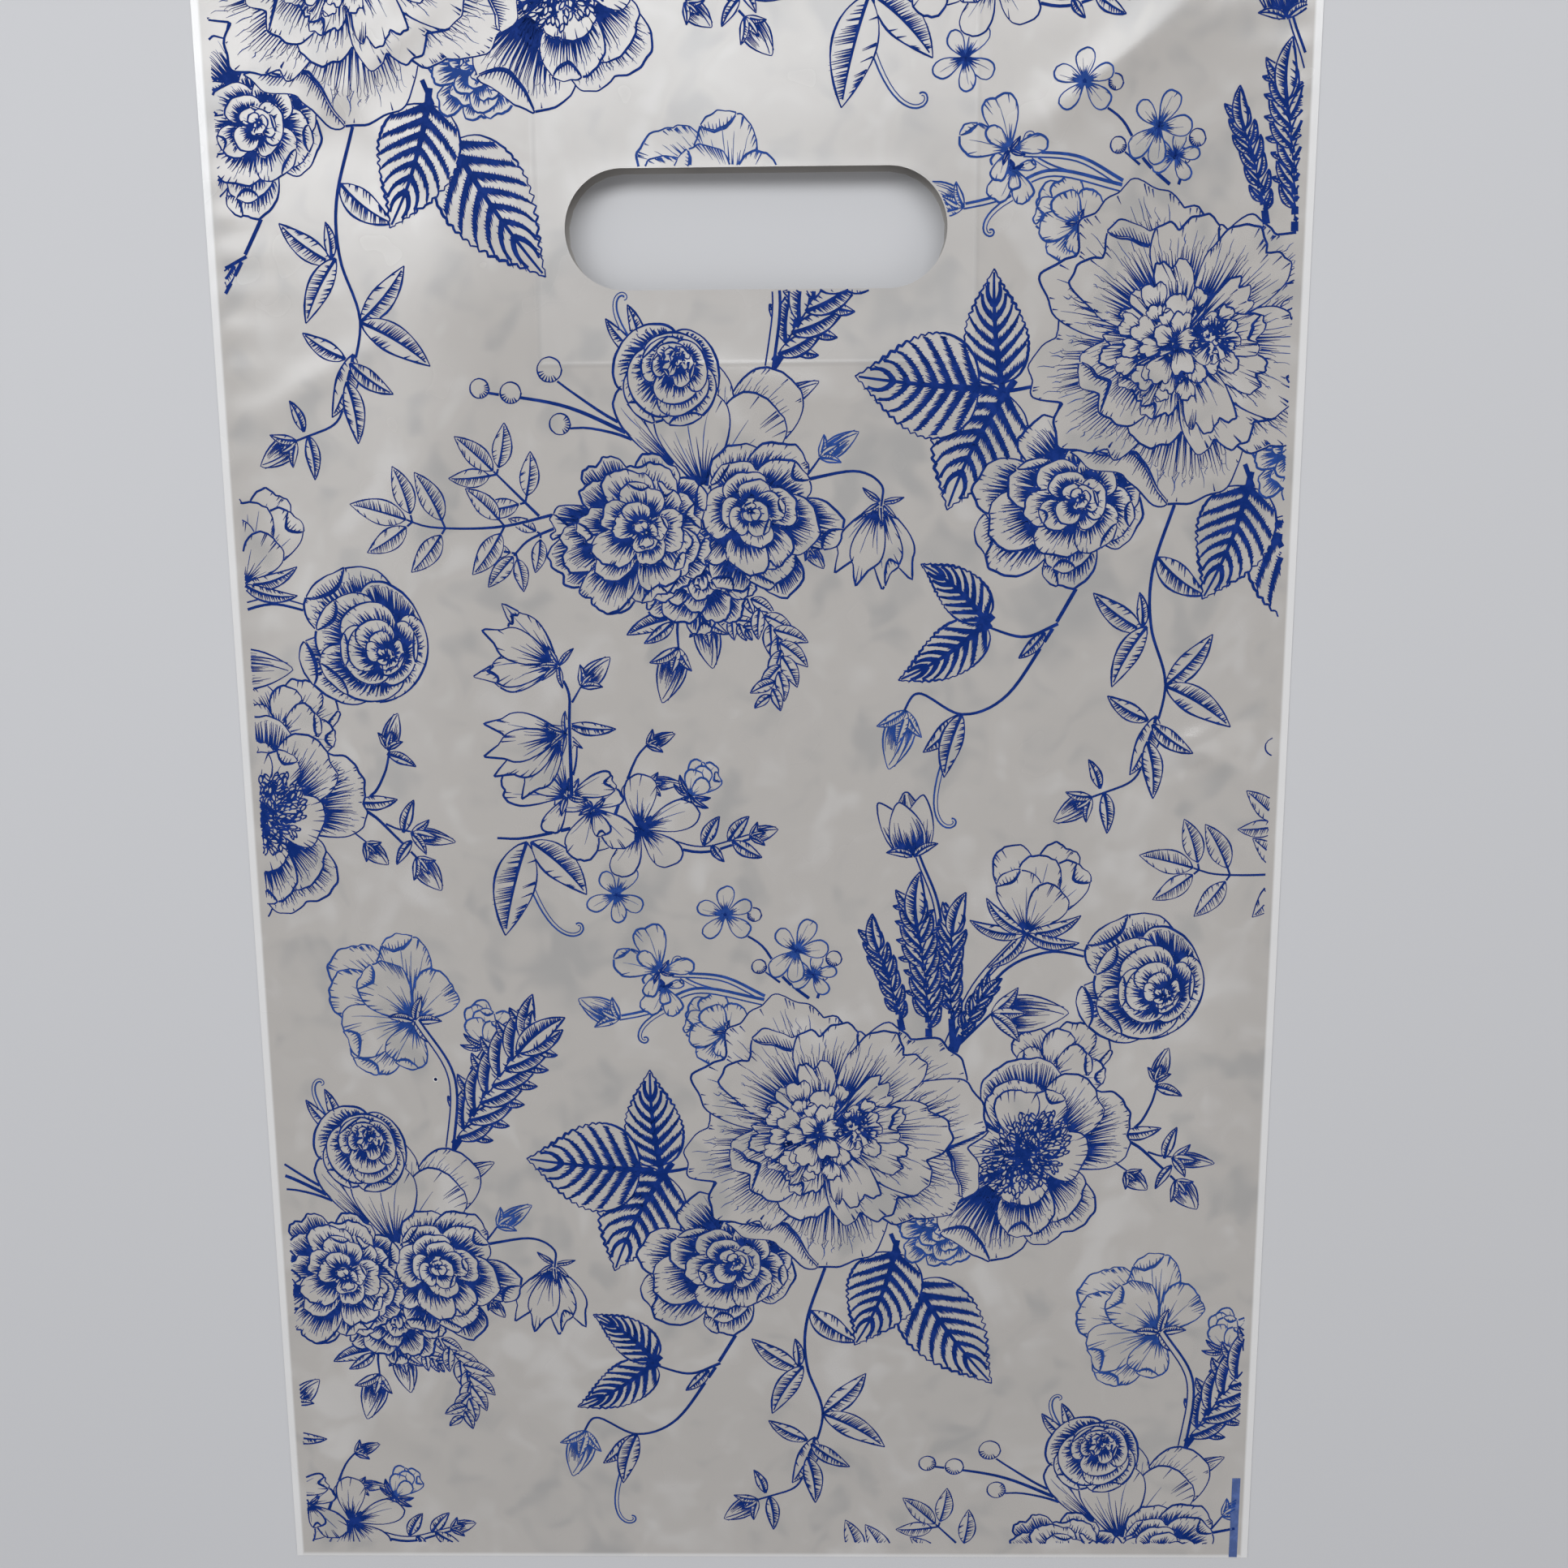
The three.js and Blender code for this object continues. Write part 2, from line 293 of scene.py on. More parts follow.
def loop(one, other):
    """A closed outline: out along one edge, and back along the other."""
    return np.vstack([one, other[::-1]])


def toward(angle):
    """A step of 1 mm in the direction of an angle."""
    return np.array([math.cos(angle), math.sin(angle)])


def placed(points, spot, turn):
    """Points drawn about the origin, turned and moved to their spot on the panel."""
    cosine, sine = math.cos(turn), math.sin(turn)
    x = points[..., 0] * cosine - points[..., 1] * sine
    y = points[..., 0] * sine + points[..., 1] * cosine
    return np.stack([x + spot[0], y + spot[1]], -1)


def placed_flat(points, squash, lean):
    """Points pressed flat along one direction, as a flower that faces a little away."""
    c, s = math.cos(lean), math.sin(lean)
    along = points[..., 0] * c + points[..., 1] * s
    across = (-points[..., 0] * s + points[..., 1] * c) * squash
    return np.stack([along * c - across * s, along * s + across * c], -1)


# Petals

# A petal's look: ruffle (depth of the scallops), lobes, point (a peak at the tip), shade (how
# far the shading climbs), gap (mm between shading lines), pen (mm of the outline), squash (how
# far the flower is pressed flat), curl (how often a lip curls over), corner (how square the rim
# is), ink (weight of the shading), fade (how much of it the outer rings lose), veins (weight of
# the fine lines beyond the shading) and rim_lines (how many short lines hang from the rim)
PETAL_LOOK = dict(ruffle=0.1, lobes=2.0, point=0.0, shade=0.4, gap=0.55, pen=0.48, squash=0.95,
                  curl=0.3, corner=3.2, ink=1.0, fade=0.1, veins=0.5, rim_lines=0.5)
PETAL_FOOT = 0.06       # share of a petal's reach where it starts
LIP_DEPTH = 0.16        # share of a petal's reach that a curled lip takes
GOLDEN_ANGLE = math.radians(137.5)


def petal_look(size, turn, **changes):
    """The look of one flower's petals: its own size and lean, and what differs."""
    return {**PETAL_LOOK, "size": size, "lean": turn, **changes}


def petal_rim(plate, t, look):
    """How far out the rim is at t, from -1 to 1 across the petal, and the lobes behind it."""
    u = (t + 1) / 2
    scallop = np.abs(np.sin(math.pi * look["lobes"] * u + plate.vary(0, math.pi)))
    rim = (1 - np.abs(t) ** look["corner"]) ** 0.42
    rim = rim * (1 - look["ruffle"] * (1 - scallop) ** 1.5)
    counts = (1, 2, 5, 9)
    waves = sum(plate.vary(0.4, 1) * np.sin(2 * math.pi * k * u + plate.vary(0, 6.28))
                for k in counts)
    rim += look["ruffle"] * 0.5 * waves / len(counts) * rim
    peak = np.clip(1 - np.abs(t + plate.vary(-0.2, 0.2)) / 0.3, 0, 1) ** 1.4
    return rim + look["point"] * peak, scallop


def curled_lip(plate, at, girth, look, tone):
    """A lip of the petal that curls over, in front of the rest."""
    pen = look["pen"]
    start = plate.vary(-0.8, 0.0)
    end = start + plate.vary(0.5, 0.8)
    s = np.linspace(start, end, 24)
    depth = LIP_DEPTH * np.sin(math.pi * (s - start) / (end - start)).clip(0) ** 0.7
    for across in np.linspace(start, end, max(int(girth / 1.1), 4))[1:-1]:
        low = 1 - np.interp(across, s, depth)
        high = low + (1 - low) * plate.vary(0.3, 0.75)
        plate.line(at(np.linspace(low, high, 4), across), tone, pen, 0.7, 0.15)
    plate.shape(loop(at(1.015, s), at(1 - depth, s)), pen * 0.85, tone)
    plate.line(at(1 - depth - 0.02, s), tone, pen, 0.4, 1.5, 0.4)


def petal_shading(plate, at, low, room, girth, look, tone):
    """Shading that climbs from under the petals in front."""
    pen, ink = look["pen"], look["pen"] * look["ink"]
    count = max(int(girth / look["gap"]), 5)
    for k in range(count):
        across = -0.94 + 1.88 * (k + plate.vary(0.2, 0.8)) / count
        climb = room * (look["shade"] * plate.vary(0.35, 1.25) + abs(across) ** 2 * 0.2)
        bow = plate.vary(-0.04, 0.04) * np.sin(np.linspace(0, math.pi, 6))
        reached = np.array([low * 0.5, *(low + climb * np.array([0, 0.3, 0.6, 0.85, 1]))])
        line = at(reached.clip(0.02, 0.95), across + bow)
        plate.line(line, tone, ink, 1.15, 1.1, 0.85, 0.6, 0.15)
        if k % 3 == 0 and look["veins"] > 0:
            far = low + room * plate.vary(0.45, 0.92)
            near = low + climb * 0.8
            fine = at(np.linspace(near, max(far, near + 0.05), 5).clip(0, 0.96), across + bow[:5])
            plate.line(fine, PALER[tone], pen, 0.25, look["veins"], 0.1)
    for side in (-0.9, 0.9):
        depth = low + room * look["shade"] * plate.vary(0.7, 1.3)
        plate.line(at(np.linspace(low * 0.5, depth, 5).clip(0.02, 0.95), side), tone, ink,
                   2.2, 1.7, 0.2)


def fan_petal(plate, middle, shift, reach, angle, spread, look, tone):
    """A petal that fans out from the flower's middle, with its shading lines.

    shift moves the inner part of a flower that leans. look also holds front, the radius
    that the petals before this one hide."""
    t = np.linspace(-1, 1, 61)
    rim, scallop = petal_rim(plate, t, look)
    twist = plate.vary(-0.16, 0.16)

    def at(share, across):
        """A place on the petal: its share of the way out, and how far across it is."""
        share = np.asarray(share, float)
        radius = reach * (PETAL_FOOT + (1 - PETAL_FOOT) * share * np.interp(across, t, rim))
        narrow = 0.62 + 0.38 * np.sqrt(share.clip(0, 1))
        theta = angle + across * spread * narrow + twist * share ** 2
        offset = (1 - radius / look["size"]).clip(0, 1)[..., None] * shift
        flat = np.stack([radius * np.cos(theta), radius * np.sin(theta)], -1)
        return placed_flat(flat, look["squash"], look["lean"]) + middle + offset

    pen = look["pen"]
    low = max((look["front"] / reach - PETAL_FOOT) / (1 - PETAL_FOOT), 0.04)
    room = max(0.96 - low, 0.1)
    if plate.rng.random() < look["curl"]:
        curled_lip(plate, at, reach * spread, look, tone)
    girth = 2 * spread * max(look["front"], 0.35 * reach)
    petal_shading(plate, at, low, room, girth, look, tone)

    # Short lines that hang from the rim, most of them at the dips between the lobes
    for _ in range(int(reach * spread * 2 * look["rim_lines"] / look["gap"])):
        across = plate.vary(-0.9, 0.9)
        if plate.rng.random() > 0.2 + 0.8 * (1 - np.interp(across, t, scallop)):
            continue
        drop = room * plate.vary(0.08, 0.3)
        plate.line(at(np.linspace(0.985, 0.985 - drop, 4), across), tone, pen, 0.7, 0.12)

    outline = at(1, t)
    plate.contour(outline, pen * 1.1, tone)
    plate.cover(np.vstack([outline, at(0, np.array([0.9, 0, -0.9]))]))


def petals(plate, foot, size, turn, layers, tone, uneven=None, **changes):
    """Petals that fan out from one foot, the front ones first.

    Each layer is the petal's lean, its reach as a share of the size, its half angle, and the
    share of the size that the petals before it hide. uneven is the range of the reach."""
    look = petal_look(size, turn, squash=1.0, **changes)
    for lean, reach, spread, front in layers:
        far = size * reach * (plate.vary(*uneven) if uneven else 1)
        fan_petal(plate, foot, np.zeros(2), far, turn + lean, spread,
                  {**look, "front": size * front}, tone)


def ringed_flower(plate, spot, size, turn, rings, tone=DARK, shift=0.0, **changes):
    """A full flower: rings of petals about its heart, the small front ones first.

    Each ring is its reach as a share of the size, its count of petals and their spread.
    shift moves the heart off the middle, by a share of the size."""
    look = petal_look(size, turn, **changes)
    offset = size * shift * toward(turn)
    front = 0.0
    for reach, count, spread in rings:
        middle = np.array(spot, float) + plate.rng.uniform(-0.035, 0.035, 2) * size
        first = plate.vary(0, 2 * math.pi)
        for k in plate.rng.permutation(count):
            far = size * reach * plate.vary(0.88, 1.1)
            angle = first + 2 * math.pi * (k + plate.vary(-0.24, 0.24)) / count
            petal = {**look, "front": size * front, "pen": look["pen"] * (0.75 + 0.25 * reach),
                     "ink": look["ink"] * (1.1 - look["fade"] * reach),
                     "lobes": look["lobes"] * plate.vary(0.7, 1.3)}
            fan_petal(plate, middle, offset, far, angle, spread * plate.vary(0.85, 1.2),
                      petal, tone)
        front = reach


def petal_heart(plate, middle, size, turn, count):
    """A tight cluster of small cupped petals, dark between them."""
    pen = 0.42
    for k in range(count):
        far = size * math.sqrt((k + 0.3) / count)
        heading = k * GOLDEN_ANGLE + turn
        place = middle + placed_flat(toward(heading) * far, 0.85, turn)
        small = size * plate.vary(0.22, 0.42)
        look = petal_look(size, turn, squash=1.0, front=small * 0.25,
                          pen=pen * plate.vary(0.8, 1.0), lobes=plate.vary(1.2, 2.8),
                          ruffle=0.2, curl=0.1, shade=0.6, gap=0.4, veins=0, rim_lines=0.2,
                          ink=1.1)
        foot = place - small * 0.6 * toward(heading)
        fan_petal(plate, foot, np.zeros(2), small * 1.5, heading + plate.vary(-0.5, 0.5),
                  plate.vary(0.5, 0.85), look, DARK)
    for _ in range(int(size * 15)):
        way = placed_flat(toward(plate.vary(0, 2 * math.pi)), 0.85, turn)
        start = middle + way * size * plate.vary(0.2, 0.8)
        end = middle + way * size * plate.vary(1.1, 1.4)
        plate.line([start, end], DARK, pen, 1.5, 1.1, 0.15)


# Leaves and stems

def span(foot, tip, bend=0.0):
    """Length of a leaf from its foot to its tip, and its heading where it leaves the foot."""
    run = np.subtract(tip, foot)
    return math.hypot(*run), math.atan2(run[1], run[0]) - bend / 2


def leaf_frame(spot, length, turn, bend):
    """Returns a function that places points by how far along and across a bent leaf they are."""
    def put(along, across):
        along, across = np.broadcast_arrays(np.asarray(along, float), across)
        if bend:
            radius = length / bend
            angle = along / radius
            along, across = (np.sin(angle) * radius - across * np.sin(angle),
                             (1 - np.cos(angle)) * radius + across * np.cos(angle))
        return placed(np.stack([along, across], -1), spot, turn)

    return put


def leaf_side(t, breadth):
    """Half the breadth of a leaf at t, from 0 at the stalk to 1 at the tip."""
    return breadth / 2 * np.sin(math.pi * t ** 0.62).clip(0) ** (0.62 + 0.62 * t)


def leaf_vein(plate, put, length, breadth, start, side, spacing, pen):
    """A side vein of a leaf, with a fringe of shading on both of its sides."""
    s = np.linspace(0, 1, 9)
    along = start + (0.3 * (1 - 0.5 * math.exp(-6 * start)) - 0.14 * start) * s ** 1.15
    across = side * (leaf_side(along.clip(0, 0.999), breadth) * s * 0.96)
    along = along * length
    plate.line(put(along, across), DARK, pen, 2.3, 1.8, 0.9)
    count = max(int(np.abs(across[-1]) / 0.42), 4)
    for k in range(count):
        q = (k + plate.vary(0.3, 0.7)) / count
        x, y = np.interp(q, s, along), np.interp(q, s, across)
        for way, share in ((1, 0.66), (-1, 0.28)):
            run = spacing * share * plate.vary(0.7, 1.15) * (1 - 0.35 * q)
            plate.line(put(np.linspace(x, x + way * run, 3),
                           np.linspace(y, y + side * run * 0.35, 3)), DARK, pen, 1, 0.7, 0.15)


def leaf(plate, foot, tip, width, bend):
    """A broad leaf with a toothed edge, and dark bands of shading along its side veins."""
    length, turn = span(foot, tip, bend)
    breadth = length * width
    pen, teeth, veins = 0.6, 17, 7
    t = np.linspace(0, 1, 12 * teeth)
    tooth = 0.036 * length * (1 - (t * teeth) % 1) * np.sin(math.pi * t) ** 0.4
    half = leaf_side(t, breadth) + tooth * 0.7
    put = leaf_frame(foot, length, turn, bend)
    plate.line(put(np.linspace(-0.12, 0.97, 20) * length, 0), DARK, pen, 2.6, 2.2, 1.4, 0.8)
    for side in (1, -1):
        for v in range(veins):
            leaf_vein(plate, put, length, breadth, 0.8 * v / veins, side,
                      0.8 / veins * length, pen)
    plate.leaf_shape(put(t * length + tooth, half), put(t * length + tooth, -half), pen * 0.9,
                     pen * 1.2, DARK)


def plain_leaf(plate, spot, length, turn, width, bend, tone=DARK, pen=0.48, dark=0.85):
    """A small pointed leaf, shaded on one side of its rib. dark is how full that shading is."""
    t = np.linspace(0, 1, 26)
    half = length * width / 2 * np.sin(math.pi * t ** 0.8) ** 0.9
    put = leaf_frame(spot, length, turn, bend)
    plate.line(put(np.linspace(0, 0.93, 10) * length, 0), tone, pen, 1.7, 0.7)
    side = 1 if bend > 0 else -1
    count = max(int(length / 0.6), 5)
    for k in range(count):
        q = 0.08 + 0.84 * (k + plate.vary(0.2, 0.8)) / count
        edge = np.interp(q, t, half)
        run = edge * plate.vary(0.6, 1.0)
        along = np.linspace(q * length, q * length + 0.45 * run, 3)
        for way, share, start, end in ((-side, dark, 0.0, run),
                                       (side, 0.35, edge * 0.95, edge * 0.95 - run * 0.6)):
            if plate.rng.random() < share:
                plate.line(put(along, way * np.linspace(start, end, 3)), tone, pen, 0.95, 0.15)
    plate.leaf_shape(put(t * length, half), put(t * length, -half), pen * 0.9, pen * 1.25, tone)


def blade(plate, foot, tip, width, bend):
    """A plain leaf from its foot to its tip."""
    length, turn = span(foot, tip, bend)
    plain_leaf(plate, foot, length, turn, width, bend)


def blades(plate, width, *pairs):
    """Plain leaves, each from its foot to its tip, that bend to either side by turns."""
    for k, (foot, tip) in enumerate(pairs):
        blade(plate, foot, tip, width, 0.35 if k % 2 else -0.35)


def sepals(plate, foot, reach, turn, leans, width, bend, pen, uneven=None, tone=DARK):
    """Small leaves about a flower's foot. uneven is the range of their length."""
    for lean in leans:
        size = reach * (plate.vary(*uneven) if uneven else 1)
        plain_leaf(plate, foot, size, turn + lean, width, bend * np.sign(lean) or 0.01,
                   tone, pen, 1)


def stem(plate, width, *points):
    """A stem as one swelling line."""
    run = spline(points, 12 * len(points))
    plate.line(run, DARK, width, 1, 0.9, 0.75, 0.6)
    plate.cover(loop(*ribbon(run, np.full(len(run), width))))


def hollow_stem(plate, tone, width, *points):
    """A stem as two lines, the one on its shaded side the heavier."""
    run = spline(points, 12 * len(points))
    left, right = ribbon(run, np.linspace(width, width * 0.7, len(run)))
    plate.line(left, tone, 0.36, 1)
    plate.line(right, tone, 0.36, 2.2, 1.6)
    plate.cover(loop(left, right))


def direction(run, share):
    """The place at a share of the way along a curve, and its heading there."""
    i = int(np.clip(share * (len(run) - 1), 1, len(run) - 2))
    step = run[i + 1] - run[i - 1]
    return run[i], math.atan2(step[1], step[0])


def leaflet_sprig(plate, points, pairs, length):
    """A compound leaf: pairs of leaflets along a stalk, and one at its end."""
    pen, dark, width = 0.34, 0.95, 0.7
    run = spline(points, 12 * len(points))
    spot, heading = direction(run, 1)
    plain_leaf(plate, spot, length * 1.15, heading, 0.42, 0.1, DARK, pen, dark)
    for k in range(pairs):
        spot, heading = direction(run, 0.3 + 0.6 * k / (pairs - 1))
        for side in (1, -1):
            lean = side * plate.vary(0.85, 1.15)
            size = length * plate.vary(0.85, 1.05)
            out = spot + 0.16 * length * toward(heading + lean)
            plain_leaf(plate, out, size, heading + lean, 0.44, -side * 0.25, DARK, pen, dark)
            plate.line([spot, out], DARK, width, 0.7)
    stem(plate, width, *points)


def fern(plate, foot, tip, bend, lobes=6, width=0.16):
    """A deeply cut leaf: pointed lobes on a heavy rib, the long ones with a tooth."""
    length, turn = span(foot, tip, bend)
    length *= 1.03
    pen = 0.58
    put = leaf_frame(foot, length, turn, bend)

    def lobe(share, lean, size):
        place, ahead = put(np.array([share * length, share * length + 1]), 0)
        heading = math.atan2(*(ahead - place)[::-1]) + lean
        side = np.sign(lean or 1)
        plain_leaf(plate, place, size, heading, 0.36, -0.5 * side, DARK, pen, 1)
        if size > 7:
            plain_leaf(plate, place + size * 0.35 * toward(heading), size * 0.45,
                       heading + 0.75 * side, 0.42, -0.4 * side, DARK, pen * 0.9, 1)

    lobe(0.72, 0.0, length * 0.3)
    for k in range(lobes):
        share = 0.76 - 0.66 * k / lobes
        size = length * width * (0.6 + 0.55 * math.sin(math.pi * (0.25 + 0.65 * k / lobes)))
        for side in (1, -1):
            lobe(share + 0.03 * side, side * plate.vary(0.6, 0.8), size)
    plate.line(put(np.linspace(-0.05, 0.8, 12) * length, 0), DARK, pen, 3.2, 2.4, 1.1)


def tendril(plate, spot, reach, turn, curl):
    """A thin stem that ends in a spiral."""
    steps, width = 60, 0.45
    t = np.linspace(0, 1, steps)
    heading = turn + curl * (1.1 * t + 6.4 * t ** 4)
    step = reach / steps * (1.5 - 1.15 * t)
    run = np.cumsum(np.stack([np.cos(heading), np.sin(heading)], -1) * step[:, None], 0) + spot
    left, right = ribbon(run, np.linspace(width * 2.2, width * 1.3, steps))
    plate.line(left, MID, width, 0.5)
    plate.line(right, MID, width, 0.9)


def leafy_spike(plate, points, length):
    """A drooping spike of small overlapped leaves."""
    run = spline(points, 40)
    count = int(np.abs(np.diff(run, axis=0)).sum() / length * 3)
    for k in range(count):
        spot, heading = direction(run, 1 - 0.95 * k / count)
        size = length * (0.6 + 0.5 * math.sin(math.pi * k / count))
        side = 1 if k % 2 else -1
        plain_leaf(plate, spot, size, heading + side * plate.vary(0.4, 1.0), 0.45,
                   -side * 0.3, DARK, 0.38, 0.7)


# Buds and small flowers

def closed(plate, foot, tip, width, tone=DARK):
    """A closed bud from its foot to its tip, held by sepals."""
    length, turn = span(foot, tip)
    pen = 0.4
    sepals(plate, foot, length, turn, (-0.55, 0, 0.55), 0.34, 0.5, pen, (0.45, 0.6), tone)
    put = leaf_frame(foot, length, turn, 0)
    t = np.linspace(0, 1, 40)
    half = length * width / 2 * np.sin(math.pi * t ** 0.75) ** 0.8
    for shift, scale in ((-0.12, 0.7), (0.16, 0.6)):
        fold = put(t * length * 0.98, (half * scale + shift * length * width) * 0.7)
        plate.line(fold[4:-2], tone, pen, 0.6, 1, 0.5)
    count = int(length / 0.55)
    for k in range(count):
        across = -0.85 + 1.7 * (k + 0.5) / count
        s = np.linspace(0.08, plate.vary(0.4, 0.75), 5)
        plate.line(put(s * length, across * np.interp(s, t, half)), tone, pen, 1.2, 0.2)
    plate.shape(loop(put(t * length, half), put(t * length, -half)), pen * 1.1, tone)


def tulip_bud(plate, spot, length, turn):
    """A large opening bud: overlapped petals above a dark base."""
    pen = 0.42
    sepals(plate, spot, length * 0.42, turn, (-0.9, 0.9), 0.3, 0.7, pen)
    t = np.linspace(0, 1, 30)
    for lean, reach, width, shade in ((0.1, 0.86, 0.62, 0.5), (-0.32, 0.95, 0.5, 0.45),
                                      (0.4, 0.98, 0.42, 0.5), (-0.05, 1.0, 0.5, 0.9)):
        size = length * reach
        half = size * width / 2 * np.sin(math.pi * t ** 0.72) ** 0.7
        put = leaf_frame(spot, size, turn + lean, 0)
        count = int(size / 0.5)
        for k in range(count):
            across = -0.9 + 1.8 * (k + plate.vary(0.2, 0.8)) / count
            top = shade * plate.vary(0.5, 1.2) + 0.15 * abs(across)
            s = np.linspace(0.02, top, 5).clip(0, 0.95)
            plate.line(put(s * size, across * np.interp(s, t, half)), DARK, pen, 1.2, 0.8, 0.15)
        plate.shape(loop(put(t * size, half), put(t * size, -half)), pen, DARK)


def bell(plate, spot, size, turn):
    """A bellflower seen from its side: pointed petals fan out from a starry calyx."""
    sepals(plate, spot, size * 0.3, turn, (-1.9, -0.7, 0.1, 0.8, 1.8), 0.26, 0.3, 0.36)
    leans = [(share - 0.5) * 1.12 for share in (1 / 3, 2 / 3, 0, 1)]
    layers = [(lean, 0.9 - 0.1 * abs(lean), 0.44, 0.2) for lean in leans]
    petals(plate, spot, size, turn, layers, DARK, ruffle=0.02, lobes=1.0, curl=0.2, pen=0.5,
           corner=2.3, rim_lines=0.3, shade=0.5, point=0.3)


def blossom(plate, spot, size, turn, tone=MID):
    """A small open flower of five round petals, dark at its heart."""
    pen = 0.4
    look = petal_look(size, turn, front=size * 0.12, ruffle=0.05, lobes=1.0, curl=0, gap=0.4,
                      pen=pen, squash=0.9, corner=2.3, rim_lines=0.1)
    for k in range(5):
        angle = turn + 2 * math.pi * k / 5 + plate.vary(-0.12, 0.12)
        reach = size * plate.vary(0.85, 1.08)
        for lean in (-0.25, 0, 0.25):
            tip = placed(toward(angle) * reach * 0.42, (0, 0), lean) + spot
            plate.line([spot, tip], DARK, pen, 1.6, 0.2)
        fan_petal(plate, spot, np.zeros(2), reach, angle, 0.5, look, tone)


def berry(plate, spot, size, turn):
    """A round bud with a highlight, shaded on its lower side."""
    pen = 0.4
    for k in range(7):
        edge = toward(turn + math.pi + (k - 3) * 0.32) * size
        plate.line([spot + edge * 0.97, spot + edge * 0.5], DARK, pen, 1.2, 0.2)
    a = np.linspace(0, 2 * math.pi, 22)[:-1]
    plate.shape(np.stack([np.cos(a), np.sin(a)], -1) * size + spot, pen, DARK)


def rosebud(plate, spot, size, turn, tone=MID):
    """A swelling rosebud on long sepals, seen from the side. Its foot is at the spot."""
    sepals(plate, spot, size, turn, (-1.9, -1.4, 1.5, 2.0, 3.0), 0.24, -0.8, 0.45,
           (0.5, 0.75))
    petals(plate, spot, size, turn,
           ((-0.35, 0.62, 0.62, 0), (0.42, 0.72, 0.6, 0), (0.0, 0.88, 0.5, 0.5),
            (-0.4, 0.96, 0.42, 0.5), (0.34, 1.0, 0.4, 0.6), (0.0, 1.08, 0.36, 0.8)), tone,
           ruffle=0.05, lobes=1.3, curl=0.45, shade=0.36, corner=2.8, ink=0.8, gap=0.7, pen=0.46)


def goblet_bud(plate, spot, size, turn):
    """A large swelling bud: broad smooth petals that wrap round it. Its foot is at the spot."""
    petals(plate, spot, size, turn,
           ((0.3, 0.74, 0.62, 0.1), (-0.55, 0.8, 0.5, 0.1), (0.05, 0.94, 0.6, 0.7),
            (0.62, 0.96, 0.4, 0.6), (-0.5, 1.0, 0.42, 0.75)), DARK,
           ruffle=0.03, lobes=1.1, curl=0.0, shade=0.45, ink=0.85, gap=0.7)


def sweet_pea(plate, spot, size, turn, tone=MID):
    """Two broad wings over a smaller folded pair, on a little calyx."""
    for lean in (-2.4, -1.2, 2.2):
        plain_leaf(plate, spot, size * 0.3, turn + lean, 0.3, 0.4, DARK, 0.4, 1)
    petals(plate, spot, size, turn,
           ((0.5, 0.55, 0.5, 0.1), (-1.6, 0.7, 0.42, 0.1), (-0.15, 1.0, 0.55, 0.1),
            (0.9, 0.95, 0.55, 0.1), (2.2, 0.6, 0.4, 0.1)), tone,
           ruffle=0.07, lobes=1.6, curl=0.4, shade=0.35, corner=3.0, gap=0.65, pen=0.5, ink=0.9)


# Larger flowers

def peony(plate, spot, size, turn):
    """A wide ruffled flower with a tight heart that sits off its middle."""
    heart = spot - 0.06 * size * toward(turn)
    petal_heart(plate, heart + 0.24 * size * toward(turn), size * 0.13, turn, 7)
    petal_heart(plate, heart, size * 0.35, turn, 30)
    ringed_flower(plate, spot, size, turn, [(0.54, 9, 0.4), (0.78, 7, 0.6), (1.0, 5, 0.95)],
                  ruffle=0.15, lobes=2.6, gap=0.62, ink=1.2, pen=0.52, corner=4.0, fade=0.4)


def full_rose(rings, **look):
    """Returns the drawing function of a rose that is rings of petals and nothing else."""
    def draw(plate, spot, size, turn, tone=DARK):
        ringed_flower(plate, spot, size, turn, rings, tone, **look)

    return draw


# An open rose: a small spiral heart in broad, smooth, curled petals
rose = full_rose([(0.13, 3, 1.0), (0.26, 3, 1.05), (0.42, 4, 0.9), (0.62, 5, 0.75),
                  (0.82, 5, 0.72), (1.0, 6, 0.6)],
                 shift=0.26, ruffle=0.04, lobes=1.2, point=0.06, curl=0.6, shade=0.5, gap=0.48,
                 ink=1.35, pen=0.56, corner=3.6)
# A dense rose of many scalloped petals with deep shadows between them
cabbage_rose = full_rose([(0.16, 3, 0.9), (0.32, 4, 0.8), (0.5, 5, 0.72), (0.68, 6, 0.62),
                          (0.85, 7, 0.55), (1.0, 8, 0.5)],
                         shift=0.2, lobes=1.8, curl=0.35, shade=0.58, gap=0.5, ink=1.35, pen=0.54)
# A round half-open rose: a whorl near one side, wrapped in broad smooth petals
rolled_rose = full_rose([(0.14, 3, 0.9), (0.28, 4, 0.8), (0.42, 3, 1.25), (0.62, 3, 1.3),
                         (0.82, 3, 1.3), (1.0, 4, 1.1)],
                        shift=0.42, ruffle=0.03, lobes=1.2, curl=0.5, shade=0.62, gap=0.46,
                        ink=1.4, pen=0.58, corner=4.2, squash=1.0)


